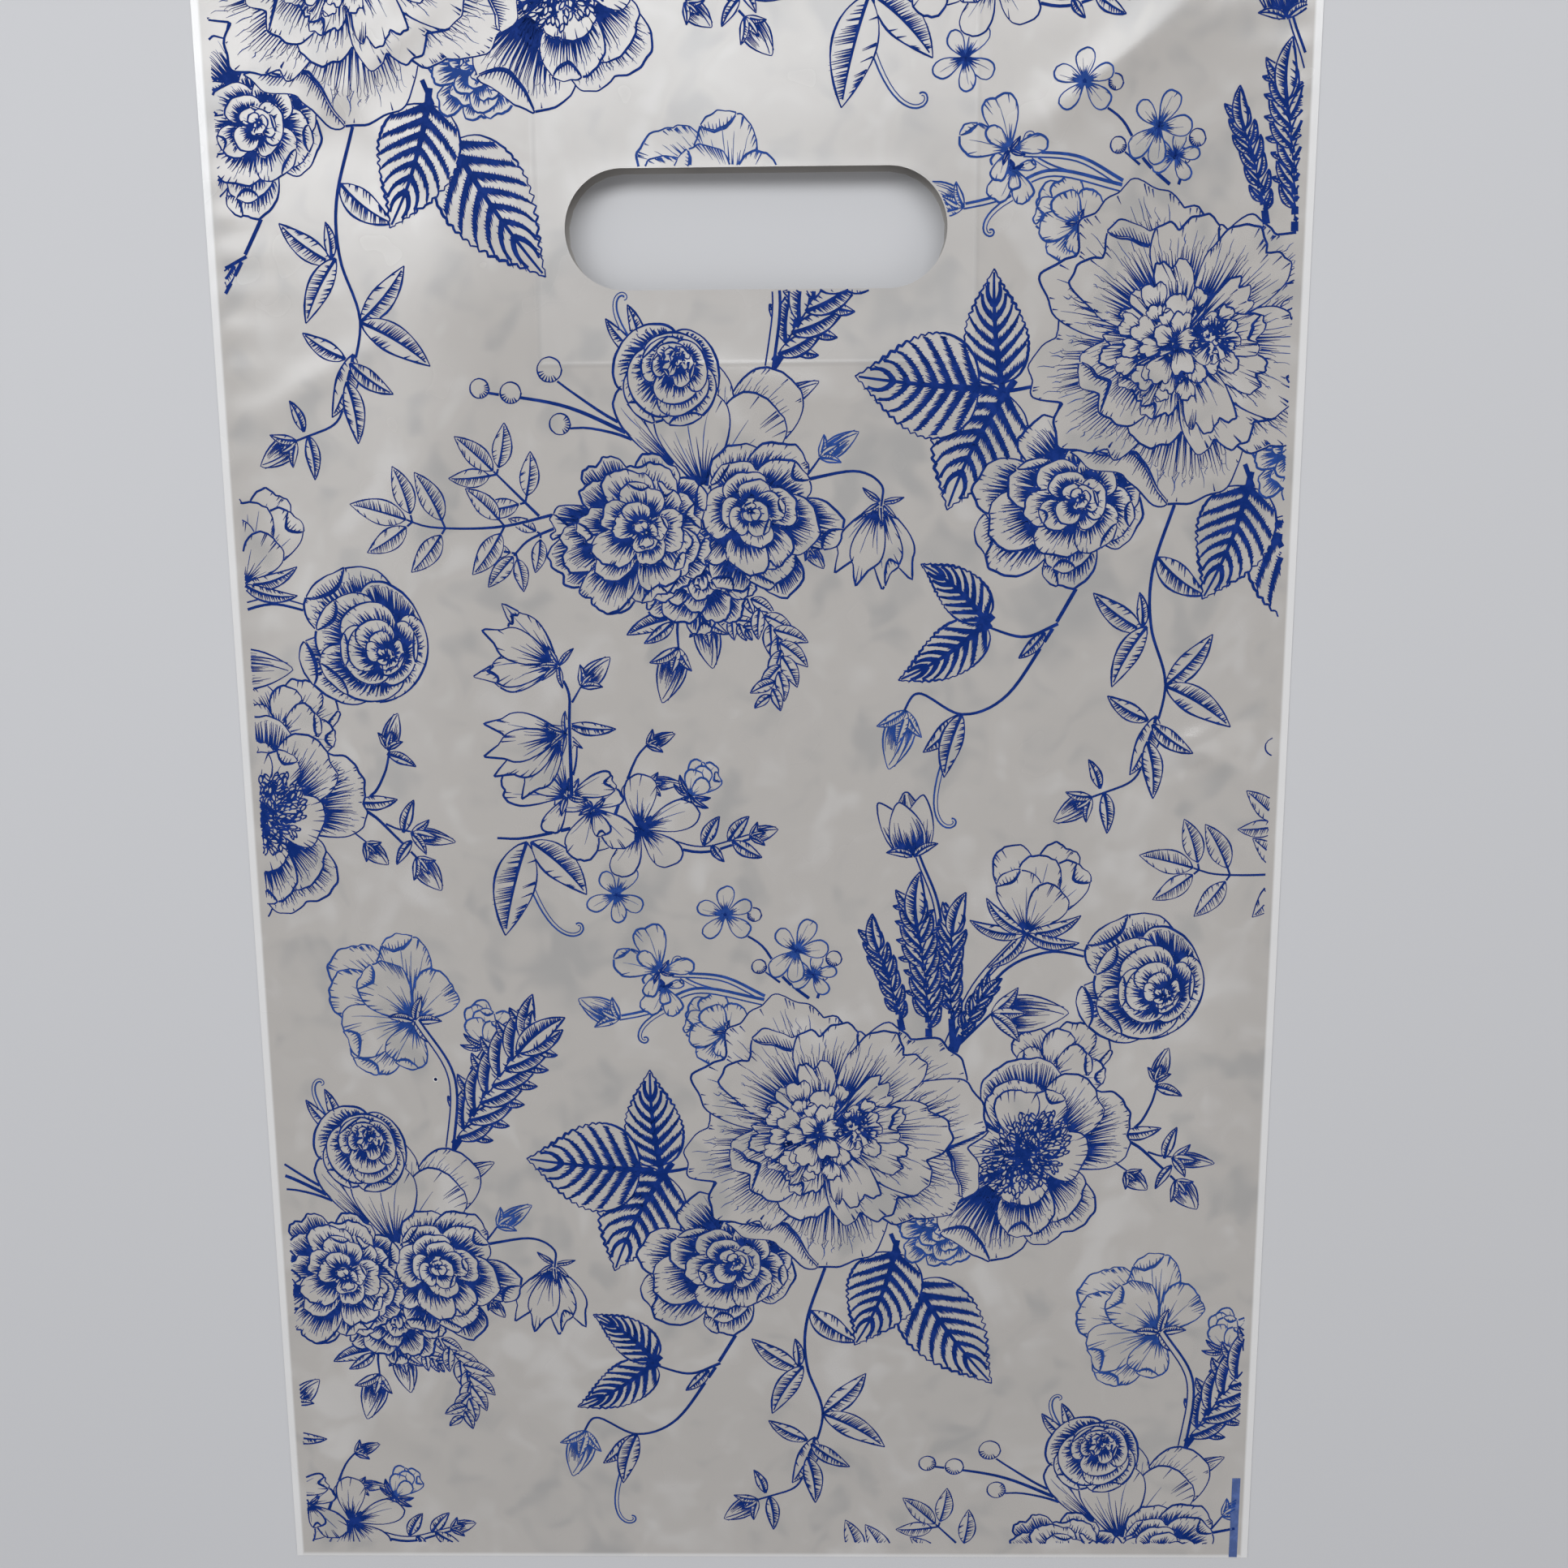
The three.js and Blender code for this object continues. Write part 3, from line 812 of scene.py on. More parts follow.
def stamen_flower(plate, spot, size, turn):
    """A bowl-shaped flower, with a dark tuft of stamens between its petals."""
    ring = np.linspace(0, 2 * math.pi, 9)[:-1]
    grain = np.stack([np.cos(ring) * 1.1, np.sin(ring) * 0.5], -1)
    for _ in range(200):
        a = plate.vary(0, 2 * math.pi)
        far = size * 0.46 * math.sqrt(plate.vary(0.02, 1))
        tip = spot + placed_flat(toward(a) * far, 0.72, turn)
        way = plate.vary(-0.7, 0.7) + a
        plate.shape(placed(grain, tip, way), 0.46, DARK)
        plate.stroke([tip - size * 0.16 * toward(way), tip], [0.4, 0.75], DARK)
    ringed_flower(plate, spot, size, turn, [(0.62, 5, 0.6), (0.84, 5, 0.62), (1.04, 5, 0.62)],
                  ruffle=0.07, lobes=1.8, curl=0.4, shade=0.55, gap=0.5, ink=1.2, pen=0.52,
                  corner=3.4)


def back_flower(plate, spot, size, turn, tone=MID):
    """A ruffled flower seen from behind: its petals fan out from the calyx."""
    foot = spot - toward(turn) * size * 0.42
    sepals(plate, foot, size * 0.42, turn, (2.6, -2.2, -1.0, 0.3), 0.34, 0.5, 0.42)
    petals(plate, foot, size, turn,
           ((1.9, 0.8, 0.75, 0.1), (-0.35, 1.0, 0.7, 0.1), (0.75, 1.12, 0.6, 0.1),
            (-1.5, 0.92, 0.7, 0.1), (0.2, 1.35, 0.55, 0.8), (-0.75, 1.3, 0.55, 0.7),
            (1.35, 1.15, 0.6, 0.8), (-0.2, 1.5, 0.5, 1.0)), tone, (0.95, 1.05),
           ruffle=0.08, lobes=1.5, curl=0.5, pen=0.5, gap=0.65, corner=3.4, shade=0.45,
           rim_lines=1.0)


# The print's layout

# The print repeats by these two steps, in mm
REPEAT = np.array([(81, 187), (-185, 84)])


# Three groups of flowers, each from its front shapes to its back ones. A row names what is
# drawn, and gives its places and sizes in mm, its headings and bends in radians and its tone
BOUQUET = [
    (peony, (16, 121), 36, 0.1),
    (rose, (-12, 84), 20, 0.4),
    (stamen_flower, (64, 115), 27, 0.9),
    (cabbage_rose, (43, 96), 11, 0.6, MID),
    (leaf, (-31, 111), (-59, 114), 0.8, -0.1),
    (leaf, (-26, 112), (-28, 137), 0.55, -0.2),
    (leaf, (-25, 110), (-38, 84), 0.72, 0.3),
    (stem, 1.0, (-32, 111), (-24, 110.5), (-12, 113)),
    (stem, 0.8, (-25, 111), (-25, 106)),
    (leaf, (32, 89), (22, 63), 0.64, -0.35),
    (leaf, (37, 81), (57, 52), 0.55, 0.2),
    (stem, 1.1, (31, 94), (34, 87), (38, 80)),
    (blade, (11, 73), (23, 64), 0.42, 0.5),
    (blades, 0.34, ((14, 43), (30, 33)), ((14, 43), (25, 55)), ((10, 35), (0, 41)),
     ((11, 34), (21, 27)), ((10, 30), (12, 16)), ((9, 57), (1, 43)), ((8, 56), (-4, 65)),
     ((8, 57), (7, 65)), ((12, 36), (6, 22)), ((-1, 19), (-4, 26)), ((0, 18), (1, 8))),
    (closed, (-3, 17), (-12, 11), 0.5),
    (stem, 0.8, (15, 86), (10, 70), (10, 57), (14, 43), (10, 28), (7, 21), (0, 18), (-6, 16)),
    (closed, (-47, 38), (-51, 24), 0.5, MID),
    (leaf, (-29, 59), (-44, 72), 0.5, 0.5),
    (leaf, (-29, 58), (-49, 45), 0.46, -0.4),
    (blades, 0.34, ((-15, 56), (-21, 50)), ((-34, 37), (-38, 22)), ((-34, 37), (-43, 28))),
    (stem, 0.8, (-12, 58), (-20, 55), (-30, 58)),
    (stem, 0.9, (-8, 66), (-15, 54), (-24, 41), (-34, 37), (-44, 42), (-48, 37)),
    (tendril, (-38, 26), 22, -1.9, 0.7),
    (fern, (40, 140), (34, 184), 0.3, 7),
    (fern, (46, 143), (46, 180), -0.2),
    (fern, (34, 144), (24, 174), 0.35),
    (fern, (46, 141), (56, 160), -0.3, 4, 0.22),
    (rosebud, (63, 171), 22, 1.3, DARK),
    (hollow_stem, DARK, 1.6, (44, 142), (51, 158), (62, 171)),
    (rolled_rose, (92, 158), 16.5, -0.6),
    (hollow_stem, DARK, 1.9, (46, 143), (56, 161), (68, 167), (80, 165)),
    (tulip_bud, (36, 190), 16, 1.75),
    (hollow_stem, DARK, 1.4, (42, 150), (42, 175), (37, 190)),
    (closed, (55, 151), (74, 151), 0.5),
    (stem, 0.9, (46, 142), (55, 151)),
    (back_flower, (73, 138), 11, 0.6, DARK),
    (closed, (96, 132), (99, 141), 0.45),
    (blades, 0.34, ((96, 131), (103, 128)), ((88, 119), (98, 120)), ((99, 112), (102, 120)),
     ((101, 110), (97, 104))),
    (closed, (101, 112), (112, 110), 0.35),
    (closed, (102, 106), (108, 98), 0.6),
    (closed, (89, 109), (95, 104), 0.6),
    (stem, 0.8, (78, 120), (90, 120), (95, 126), (97, 134)),
    (stem, 0.9, (79, 120), (90, 117), (97, 111), (103, 105)),
    (stem, 0.6, (91, 116), (97, 113), (103, 112)),
    (stem, 0.6, (80, 120), (84, 114), (90, 109)),
    (blossom, (-9, 176), 8, 0.4),
    (blossom, (8, 167), 8.5, 1.2),
    (blossom, (12, 161), 6, 0.2),
    (berry, (-2, 176), 1.7, 0.5),
    (berry, (-1, 163), 1.8, 2.2),
    (berry, (17, 165), 1.9, 1.0),
    (berry, (14, 161), 1.7, 1.0),
    (stem, 0.8, (11, 155), (5, 160), (0, 168), (-6, 172)),
    (stem, 0.7, (13, 155), (14, 158), (16, 163)),
    (stem, 0.6, (4, 159), (0, 162)),
    (sweet_pea, (-25, 162), 12, 1.9),
    (sweet_pea, (-24, 158), 8, 4.3),
    (closed, (-35, 150), (-45, 155), 0.55, MID),
    (hollow_stem, MID, 1.4, (0, 154), (-16, 157), (-27, 152), (-36, 150)),
    (hollow_stem, MID, 1.3, (0, 155), (-10, 160), (-22, 161)),
    (tendril, (-12, 157), 18, 2.9, -0.85),
    (tendril, (-24, 152), 14, 3.6, 0.9),
    (back_flower, (-12, 148), 8, 2.6),
]

CLUSTER = [
    (cabbage_rose, (-30, 266), 21, 0.3),
    (rose, (1, 268), 19, 2.4),
    (cabbage_rose, (-14, 256), 14, 1.4),
    (rolled_rose, (-20, 301), 12, 1.2),
    (goblet_bud, (-12, 275), 32, 1.6),
    (hollow_stem, DARK, 2.0, (-1, 288), (3, 305), (4, 322), (-4, 336)),
    (back_flower, (-10, 340), 16.5, 2.5),
    (fern, (0, 298), (29, 338), -0.2, 6, 0.25),
    (rosebud, (13, 330), 11, 1.5),
    (stem, 0.9, (8, 310), (12, 320), (13, 330)),
    (stem, 1.3, (-4, 288), (2, 300), (12, 314)),
    (closed, (4, 295), (14, 300), 0.36),
    (stem, 0.7, (-2, 290), (4, 295)),
    (closed, (14, 283), (23, 289), 0.4, MID),
    (stem, 0.7, (6, 274), (11, 279), (14, 283)),
    (closed, (11, 263), (15, 258), 0.5),
    (stem, 0.8, (10, 278), (22, 280), (28, 277), (28, 272)),
    (bell, (28, 273), 18, -1.75),
    (closed, (-19, 240), (-23, 227), 0.5),
    (closed, (-13, 247), (-11, 235), 0.5),
    (stem, 0.8, (-16, 252), (-19, 246), (-19, 240)),
    (blades, 0.34, ((-20, 246), (-27, 241)), ((-20, 247), (-31, 243))),
    (leafy_spike, ((-6, 256), (2, 246), (5, 238), (2, 228)), 8),
    (leafy_spike, ((-4, 254), (-7, 248), (-3, 244)), 5),
    (leaflet_sprig, ((-46, 271), (-60, 268), (-75, 268), (-82, 270)), 3, 12),
    (leaflet_sprig, ((-50, 270), (-56, 276), (-61, 281)), 2, 10),
    (leaflet_sprig, ((-46, 268), (-53, 265), (-57, 261)), 2, 8),
    (berry, (-63, 299), 2.2, 2.6),
    (berry, (-56, 298), 2.4, 1.2),
    (berry, (-47, 303), 2.8, 1.2),
    (berry, (-45, 291), 2.4, 3.0),
    (stem, 1.0, (-22, 285), (-30, 289), (-44, 295), (-61, 298)),
    (stem, 0.8, (-24, 288), (-33, 292), (-42, 298), (-46, 301)),
    (stem, 0.8, (-22, 284), (-30, 288), (-38, 290), (-43, 290)),
    (blades, 0.3, ((-27, 306), (-34, 314)), ((-26, 307), (-29, 317))),
    (tendril, (-28, 308), 16, 2.2, -0.7),
]

SPRAY = [
    (bell, (-47, 236), 18, 2.9),
    (closed, (-42, 231), (-35, 238), 0.5),
    (stem, 0.9, (-45, 205), (-45, 222), (-45, 230), (-49, 237)),
    (stem, 0.6, (-45, 226), (-42, 231)),
    (bell, (-46, 220), 18, 3.6),
    (sweet_pea, (-46, 205), 17, 2.0, DARK),
    (sweet_pea, (-40, 202), 13, 4.6, DARK),
    (blossom, (-29, 197), 15, 0.5, DARK),
    (blossom, (-35, 181), 8, 0.9),
    (blade, (-56, 194), (-62, 171), 0.42, 0.2),
    (blade, (-55, 194), (-42, 181), 0.42, -0.4),
    (stem, 0.9, (-42, 198), (-56, 195), (-63, 195)),
    (tendril, (-56, 186), 26, -1.3, 0.7),
    (closed, (-3, 195), (4, 197), 0.5),
    (blades, 0.4, ((-14, 193), (-10, 200)), ((-12, 193), (-9, 189)), ((-8, 194), (-3, 200)),
     ((-7, 194), (0, 190))),
    (hollow_stem, DARK, 1.6, (-28, 196), (-15, 192), (-3, 195)),
    (rosebud, (-17, 205), 9, 0.9),
    (closed, (-27, 217), (-20, 220), 0.4),
    (closed, (-27, 208), (-19, 208), 0.4),
    (berry, (-31, 206), 2.2, 1.0),
    (stem, 0.8, (-35, 200), (-30, 213), (-27, 217)),
    (stem, 0.7, (-33, 205), (-27, 208)),
    (stem, 0.9, (-28, 199), (-20, 203), (-17, 206)),
    (blade, (-45, 222), (-34, 221), 0.28, 0.4),
]


def draw_print(plate):
    """Stamps the three groups of flowers over the panel, step by step of the repeat."""
    rng = np.random.default_rng(11)
    for group, steps in ((BOUQUET, ((0, 0), (1, 0), (0, 1), (1, 1))),
                         (CLUSTER, ((0, 0), (-1, 0), (0, -1), (-1, -1))),
                         (SPRAY, ((0, 0), (1, 0), (-1, 0)))):
        tile = Plate(plate.width, plate.height, rng)
        for draw, *places in group:
            draw(tile, *places)
        for step in steps:
            plate.stamp(tile, np.array(step) @ REPEAT)


# Materials

# Sockets of a mix node that hold colours
MIX_FIRST, MIX_SECOND, MIX_RESULT = 6, 7, 2


class Nodes:
    """A short way to write a material's node tree."""

    def __init__(self, name):
        self.material = bpy.data.materials.new(name)
        self.material.use_nodes = True
        self.tree = self.material.node_tree
        self.shader = self.tree.nodes["Principled BSDF"]
        self.place = self.add("ShaderNodeTexCoord").outputs["Object"]

    def feed(self, slot, value):
        """Gives a socket a number, a vector, a colour or another node's output."""
        if hasattr(value, "is_output"):
            self.tree.links.new(value, slot)
        else:
            slot.default_value = (*value, 1) if slot.type == "RGBA" else value

    def add(self, kind, inputs=None, **settings):
        """A new node with its settings, and what its sockets are fed."""
        node = self.tree.nodes.new(kind)
        for name, value in settings.items():
            setattr(node, name, value)
        for name, value in (inputs or {}).items():
            self.feed(node.inputs[name], value)
        return node

    def noise(self, scale, detail, roughness=0.5, distortion=0.0, stretch=(1, 1, 1)):
        """Noise in metres: scale is how many cells fit in a metre."""
        mapping = self.add("ShaderNodeMapping", {"Vector": self.place, "Scale": stretch})
        return self.add("ShaderNodeTexNoise", {
            "Vector": mapping.outputs["Vector"], "Scale": scale, "Detail": detail,
            "Roughness": roughness, "Distortion": distortion}).outputs["Fac"]

    def ramp(self, source, low, high, out_low=0.0, out_high=1.0):
        """A soft step of a value from low to high, between two values of its own."""
        return self.add("ShaderNodeMapRange", {
            "Value": source, "From Min": low, "From Max": high, "To Min": out_low,
            "To Max": out_high}, interpolation_type="SMOOTHSTEP").outputs["Result"]

    def maths(self, operation, first, second):
        return self.add("ShaderNodeMath", {0: first, 1: second}, operation=operation).outputs[0]

    def mix(self, factor, first, second):
        """A colour between two colours. Either may be a colour or another node's output."""
        return self.add("ShaderNodeMix", {"Factor": factor, MIX_FIRST: first, MIX_SECOND: second},
                        data_type="RGBA").outputs[MIX_RESULT]

    def bump(self, height, distance, strength, before=None):
        inputs = {"Height": height, "Distance": distance, "Strength": strength}
        if before:
            inputs["Normal"] = before
        return self.add("ShaderNodeBump", inputs).outputs["Normal"]

    def set(self, **values):
        """Feeds the shader's own sockets."""
        for name, value in values.items():
            self.feed(self.shader.inputs[name.replace("_", " ")], value)


def near_line(n, distance, reach):
    """1 on a line and 0 at its reach in metres, from the distance to the line."""
    return n.ramp(n.maths("ABSOLUTE", distance, 0.0), 0.0, reach, 1.0, 0.0)


def film_material(name="printed film", clouds=1.0):
    """Milky film, pearly gloss; clouds of painted sheen and painted shade from the panel below."""
    n = Nodes(name)
    c = colours()
    s = sizes()
    broad = n.noise(30, 2, 0.5, 1.4, (1, 0.7, 1))
    fine = n.noise(105, 1.0, 0.4, 0.6)
    patches = n.maths("ADD", n.maths("MULTIPLY", broad, 0.6), n.maths("MULTIPLY", fine, 0.4))
    # Painted sheen: light clouds where light glances off the film's undulations
    light = n.ramp(patches, 0.52, 0.7, 0, 0.65 * clouds)
    # Painted shade: dark clouds of the undulations, and of the panel below seen through the film
    dark = n.ramp(patches, 0.5, 0.34, 0, 1.0 * clouds)
    base = n.mix(dark, tuple(c.film), tuple(c.film_shade))
    base = n.mix(light, base, tuple(c.film_sheen))

    # Paler welds and fold: partly fused film, partly a painted highlight on them
    split = n.add("ShaderNodeSeparateXYZ", {0: n.place})
    x = n.maths("ABSOLUTE", split.outputs["X"], 0.0)
    y = split.outputs["Y"]
    weld = n.ramp(x, BAG_HIGH.x - s.weld * 1.3, BAG_HIGH.x - s.weld * 0.8, 0, 0.75)
    fold = n.ramp(y, BAG_LOW.y + s.weld * 0.8, BAG_LOW.y + s.weld * 0.2, 0, 0.6)
    base = n.mix(n.maths("MAXIMUM", weld, fold), base, tuple(c.edge))
    # The patches show through the film
    across = n.maths("SUBTRACT", x, PATCH_HIGH.x)
    below = n.maths("SUBTRACT", PATCH_LOW.y, y)
    patch_gap = n.maths("MAXIMUM", across, below)
    base = n.mix(n.ramp(patch_gap, 0.0004, -0.0004, 0, 0.1), base, tuple(c.edge))
    # Painted shade: a darker line along each patch's edge, where the film steps over it
    rim = near_line(n, patch_gap, 0.0009)
    base = n.mix(n.maths("MULTIPLY", rim, 0.3), base, tuple(c.film_shade))

    rough = n.ramp(n.noise(50, 2), 0.3, 0.7, 0.2, 0.28)
    ripples = n.noise(90, 2, 0.5, 0.4, (1, 0.6, 1))
    grain = n.noise(1500, 2)
    normal = n.bump(grain, 0.00001, 0.35, n.bump(ripples, 0.00012, 0.3))
    normal = n.bump(rim, 0.00008, 0.6, normal)
    n.set(Base_Color=base, Roughness=rough, Normal=normal, IOR=1.5, Coat_Weight=0.5,
          Coat_Roughness=0.2, Sheen_Weight=0.08, Sheen_Roughness=0.4)
    return n.material


def ink_material(name, tone):
    """Printing ink: slightly uneven in density, and less glossy than the film under it.

    Each ink is made once, and shared by the two panels."""
    if name in bpy.data.materials:
        return bpy.data.materials[name]
    n = Nodes(name)
    tone = tuple(tone)
    thin = tuple(min(1, v * 1.3 + 0.004) for v in tone)
    uneven = n.ramp(n.noise(420, 3, 0.6), 0.42, 0.7)
    n.set(Base_Color=n.mix(uneven, tone, thin), Roughness=0.45, IOR=1.1)
    return n.material


# The film

def smoothstep(value):
    """A soft step from 0 to 1."""
    value = np.clip(value, 0, 1)
    return value * value * (3 - 2 * value)


def ridge(x, y, start, end, width):
    """A soft crease between two places: 1 on its line and 0 away from it."""
    (ax, ay), (bx, by) = start, end
    run = np.hypot(bx - ax, by - ay)
    along = ((x - ax) * (bx - ax) + (y - ay) * (by - ay)) / run ** 2
    across = ((x - ax) * (by - ay) - (y - ay) * (bx - ax)) / run
    fade = np.sin(math.pi * np.clip(along, 0, 1)) ** 0.7
    return fade * np.exp(-(across / width) ** 2)


# Soft creases in the front film: where each starts and ends, its width and its height in mm
CREASES = [
    ((-118, 185), (-40, 120), 5.0, 0.22),
    ((122, 190), (52, 150), 5.0, 0.2),
    ((-122, -20), (-60, -60), 6.0, 0.18),
    ((124, 10), (50, 34), 5.0, 0.28),
    ((120, -12), (66, 20), 4.0, -0.2),
    ((-90, -190), (-30, -150), 7.0, 0.16),
    ((100, -190), (60, -120), 7.0, 0.16),
    ((-50, 110), (-84, 30), 6.0, -0.16),
    ((52, 112), (96, 48), 6.0, -0.14),
    ((-20, 104), (40, 88), 5.0, 0.12),
    ((-124, 90), (-84, 110), 4.0, 0.2),
    ((-60, -10), (30, -40), 9.0, 0.12),
    ((128, 30), (80, 4), 3.6, 0.6),
    ((128, 6), (88, 20), 3.4, 0.45),
    ((128, -18), (98, 2), 3.4, 0.35),
    ((-128, -160), (-76, -198), 3.2, 0.35),
    ((-128, -140), (-66, -184), 4.0, 0.3),
    ((-34, 106), (26, 96), 3.6, 0.22),
    ((60, 150), (110, 196), 4.0, 0.3),
    ((-110, 150), (-60, 190), 4.5, 0.3),
]
# Slow waves of the film: wavelength in mm, heading in degrees, phase
WAVES = [(92, 20, 0.4), (71, 108, 2.1), (128, 64, 4.0), (53, 152, 1.2), (44, 78, 5.1)]
WAVE_GAIN, CREASE_GAIN = 1.6, 1.5
# Lengths and heights in mm: small pleats beside the welds, the slot's edge that turns up a
# little, the wave of the mouth, and how far from the sides and the fold the relief is held down
PUCKER_LENGTH, PUCKER_FADE, PUCKER_HEIGHT = 9.0, 9.0, 0.1
PUCKER_DRIFT, PUCKER_DRIFT_LENGTH = 1.7, 23.0
SLOT_LIP, SLOT_LIP_HEIGHT = 3.0, 0.16
MOUTH_WAVE, MOUTH_FADE, MOUTH_LENGTH, MOUTH_PHASE = 0.3, 26.0, 19.0, 0.6
HELD_SIDE, HELD_FOLD = 14, 16
PLEAT_SIDE, PLEAT_FOLD = 2.5, 6
RESTING_GAP = 0.05          # the film is just clear of the floor, and the back ink lies under it
SEAT_GAP = 0.01             # between the film and a patch on its inside
# The panels' grids: their columns and rows, the grid's distance from the slot and the cuts there
FRONT_GRID, BACK_GRID, PATCH_GRID = (150, 240), (50, 80), (100, 160)
SLOT_MARGIN, SLOT_CUTS = 4.0, 3
SHARP_EDGE = math.radians(50)


def slot_middle():
    """Half of the slot's straight run, the radius of its round ends, and its place along Y."""
    s = sizes()
    radius = s.slot_height / MM / 2
    return s.slot_length / MM / 2 - radius, radius, BAG_HEIGHT / 2 - s.slot_below / MM - radius


def slot_distance(x, y):
    """How far a place is from the slot's edge, in mm. It is below 0 inside the slot."""
    reach, radius, centre = slot_middle()
    return np.hypot(np.maximum(np.abs(x) - reach, 0), y - centre) - radius


def front_height(x, y):
    """Top of the front film over the floor. All places and heights are in mm."""
    s = sizes()
    film, opening = s.film / MM, s.opening / MM
    loft = BAG_LOFT - 2 * film
    from_side = BAG_WIDTH / 2 - s.weld / MM - np.abs(x)
    from_fold = y + BAG_HEIGHT / 2 - film
    rise = smoothstep(from_side / (s.side_rise / MM)) * smoothstep(from_fold / (s.fold_rise / MM))
    height = 2 * film + opening + (loft - opening) * rise

    soft = 0
    for wavelength, heading, phase in WAVES:
        turn = math.radians(heading)
        soft = soft + np.sin((x * math.cos(turn) + y * math.sin(turn)) * 2 * math.pi / wavelength
                             + phase)
    relief = s.ripple / MM * soft / len(WAVES) * WAVE_GAIN
    for start, end, width, depth in CREASES:
        relief = relief + CREASE_GAIN * depth * ridge(x, y, start, end, width)
    relief = relief + SLOT_LIP_HEIGHT * np.exp(-np.maximum(slot_distance(x, y), 0) / SLOT_LIP)
    mouth = MOUTH_WAVE * np.exp(-(BAG_HEIGHT / 2 - y) / MOUTH_FADE)
    relief = relief + mouth * np.sin(x / MOUTH_LENGTH + MOUTH_PHASE)
    pleats = PUCKER_HEIGHT * np.exp(-np.maximum(from_side, 0) / PUCKER_FADE)
    pleats = pleats * np.sin(2 * math.pi * y / PUCKER_LENGTH
                             + PUCKER_DRIFT * np.sin(y / PUCKER_DRIFT_LENGTH))
    held = smoothstep(from_side / HELD_SIDE) * smoothstep(from_fold / HELD_FOLD)
    near = smoothstep(from_side / PLEAT_SIDE) * smoothstep(from_fold / PLEAT_FOLD)
    return height + relief * held + pleats * near


def back_height(x, y):
    """Underside of the back film. It rests flat, just clear of the floor."""
    return np.full_like(np.asarray(x, float), RESTING_GAP)


def moved(vertices, height):
    """Gives flat vertices, in mm, their height, and brings them to metres."""
    places = np.array([v.co for v in vertices])
    heights = height(places[:, 0], places[:, 1])
    for vertex, z in zip(vertices, heights):
        vertex.co = (vertex.co.x * MM, vertex.co.y * MM, z * MM)


def panel(bm, grid_size, level):
    """A flat panel of the bag, in mm: a grid that closes in on the slot's edge."""
    reach, radius, centre = slot_middle()
    columns, rows = grid_size
    grid = bmesh.ops.create_grid(bm, x_segments=columns, y_segments=rows, size=0.5)["verts"]
    bmesh.ops.scale(bm, vec=(BAG_WIDTH, BAG_HEIGHT, 1), verts=grid)
    bmesh.ops.translate(bm, vec=(0, 0, level), verts=grid)
    faces = {face for vertex in grid for face in vertex.link_faces}
    inside = {f for f in faces if abs(f.calc_center_median().x) < reach + radius + SLOT_MARGIN
              and abs(f.calc_center_median().y - centre) < radius + SLOT_MARGIN}
    rim = {v for f in inside for v in f.verts} & {v for f in faces - inside for v in f.verts}
    bmesh.ops.delete(bm, geom=list(inside), context="FACES")
    loop = [e for e in bm.edges if e.is_boundary and set(e.verts) <= rim]
    ring = bmesh.ops.extrude_edge_only(bm, edges=loop)["geom"]
    edge = [g for g in ring if isinstance(g, bmesh.types.BMVert)]
    for vertex in edge:
        axis = min(max(vertex.co.x, -reach), reach)
        out = Vector((vertex.co.x - axis, vertex.co.y - centre, 0)).normalized()
        vertex.co = Vector((axis, centre, level)) + out * radius
    spokes = [e for v in edge for e in v.link_edges if e.other_vert(v) in rim]
    bmesh.ops.subdivide_edges(bm, edges=spokes, cuts=SLOT_CUTS, use_grid_fill=True)


def on_level(bm, level):
    """The vertices of the flat panel at this level, in mm."""
    return [v for v in bm.verts if abs(v.co.z - level) < 0.5]


def outer_edges(bm, vertices):
    """The open edges of a panel at its sides and its bottom, and not at the mouth."""
    own = set(vertices)

    def at_edge(v):
        return abs(abs(v.co.x) - BAG_WIDTH / 2) < 0.01 or abs(v.co.y + BAG_HEIGHT / 2) < 0.01

    return [e for e in bm.edges if e.is_boundary and set(e.verts) <= own
            and all(at_edge(v) for v in e.verts)]


def finished(name, bm, material):
    """A bmesh as an object that rides on the bag, smooth but for its sharp edges."""
    mesh = bpy.data.meshes.new(name)
    bm.to_mesh(mesh)
    bm.free()
    mesh.shade_smooth()
    mesh.set_sharp_from_angle(angle=SHARP_EDGE)
    mesh.materials.append(material)
    piece = bpy.data.objects.new(name, mesh)
    bpy.context.scene.collection.objects.link(piece)
    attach(piece, "root")
    return piece


class BAG_OT_film(bpy.types.Operator):
    """Makes the bag's film: two panels, welded sides, a fold below and an open mouth."""

    bl_idname = "bag.film"
    bl_label = "Film"

    def execute(self, context):
        bm = bmesh.new()
        panel(bm, FRONT_GRID, 1)
        panel(bm, BACK_GRID, 0)
        front, back = on_level(bm, 1), on_level(bm, 0)
        seams = outer_edges(bm, front) + outer_edges(bm, back)
        moved(front, front_height)
        moved(back, back_height)
        bmesh.ops.bridge_loops(bm, edges=seams)
        bmesh.ops.recalc_face_normals(bm, faces=bm.faces[:])
        bmesh.ops.solidify(bm, geom=bm.faces[:], thickness=sizes().film)
        piece = finished("film_bag", bm, film_material())
        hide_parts("bag_film")
        return {"FINISHED"}


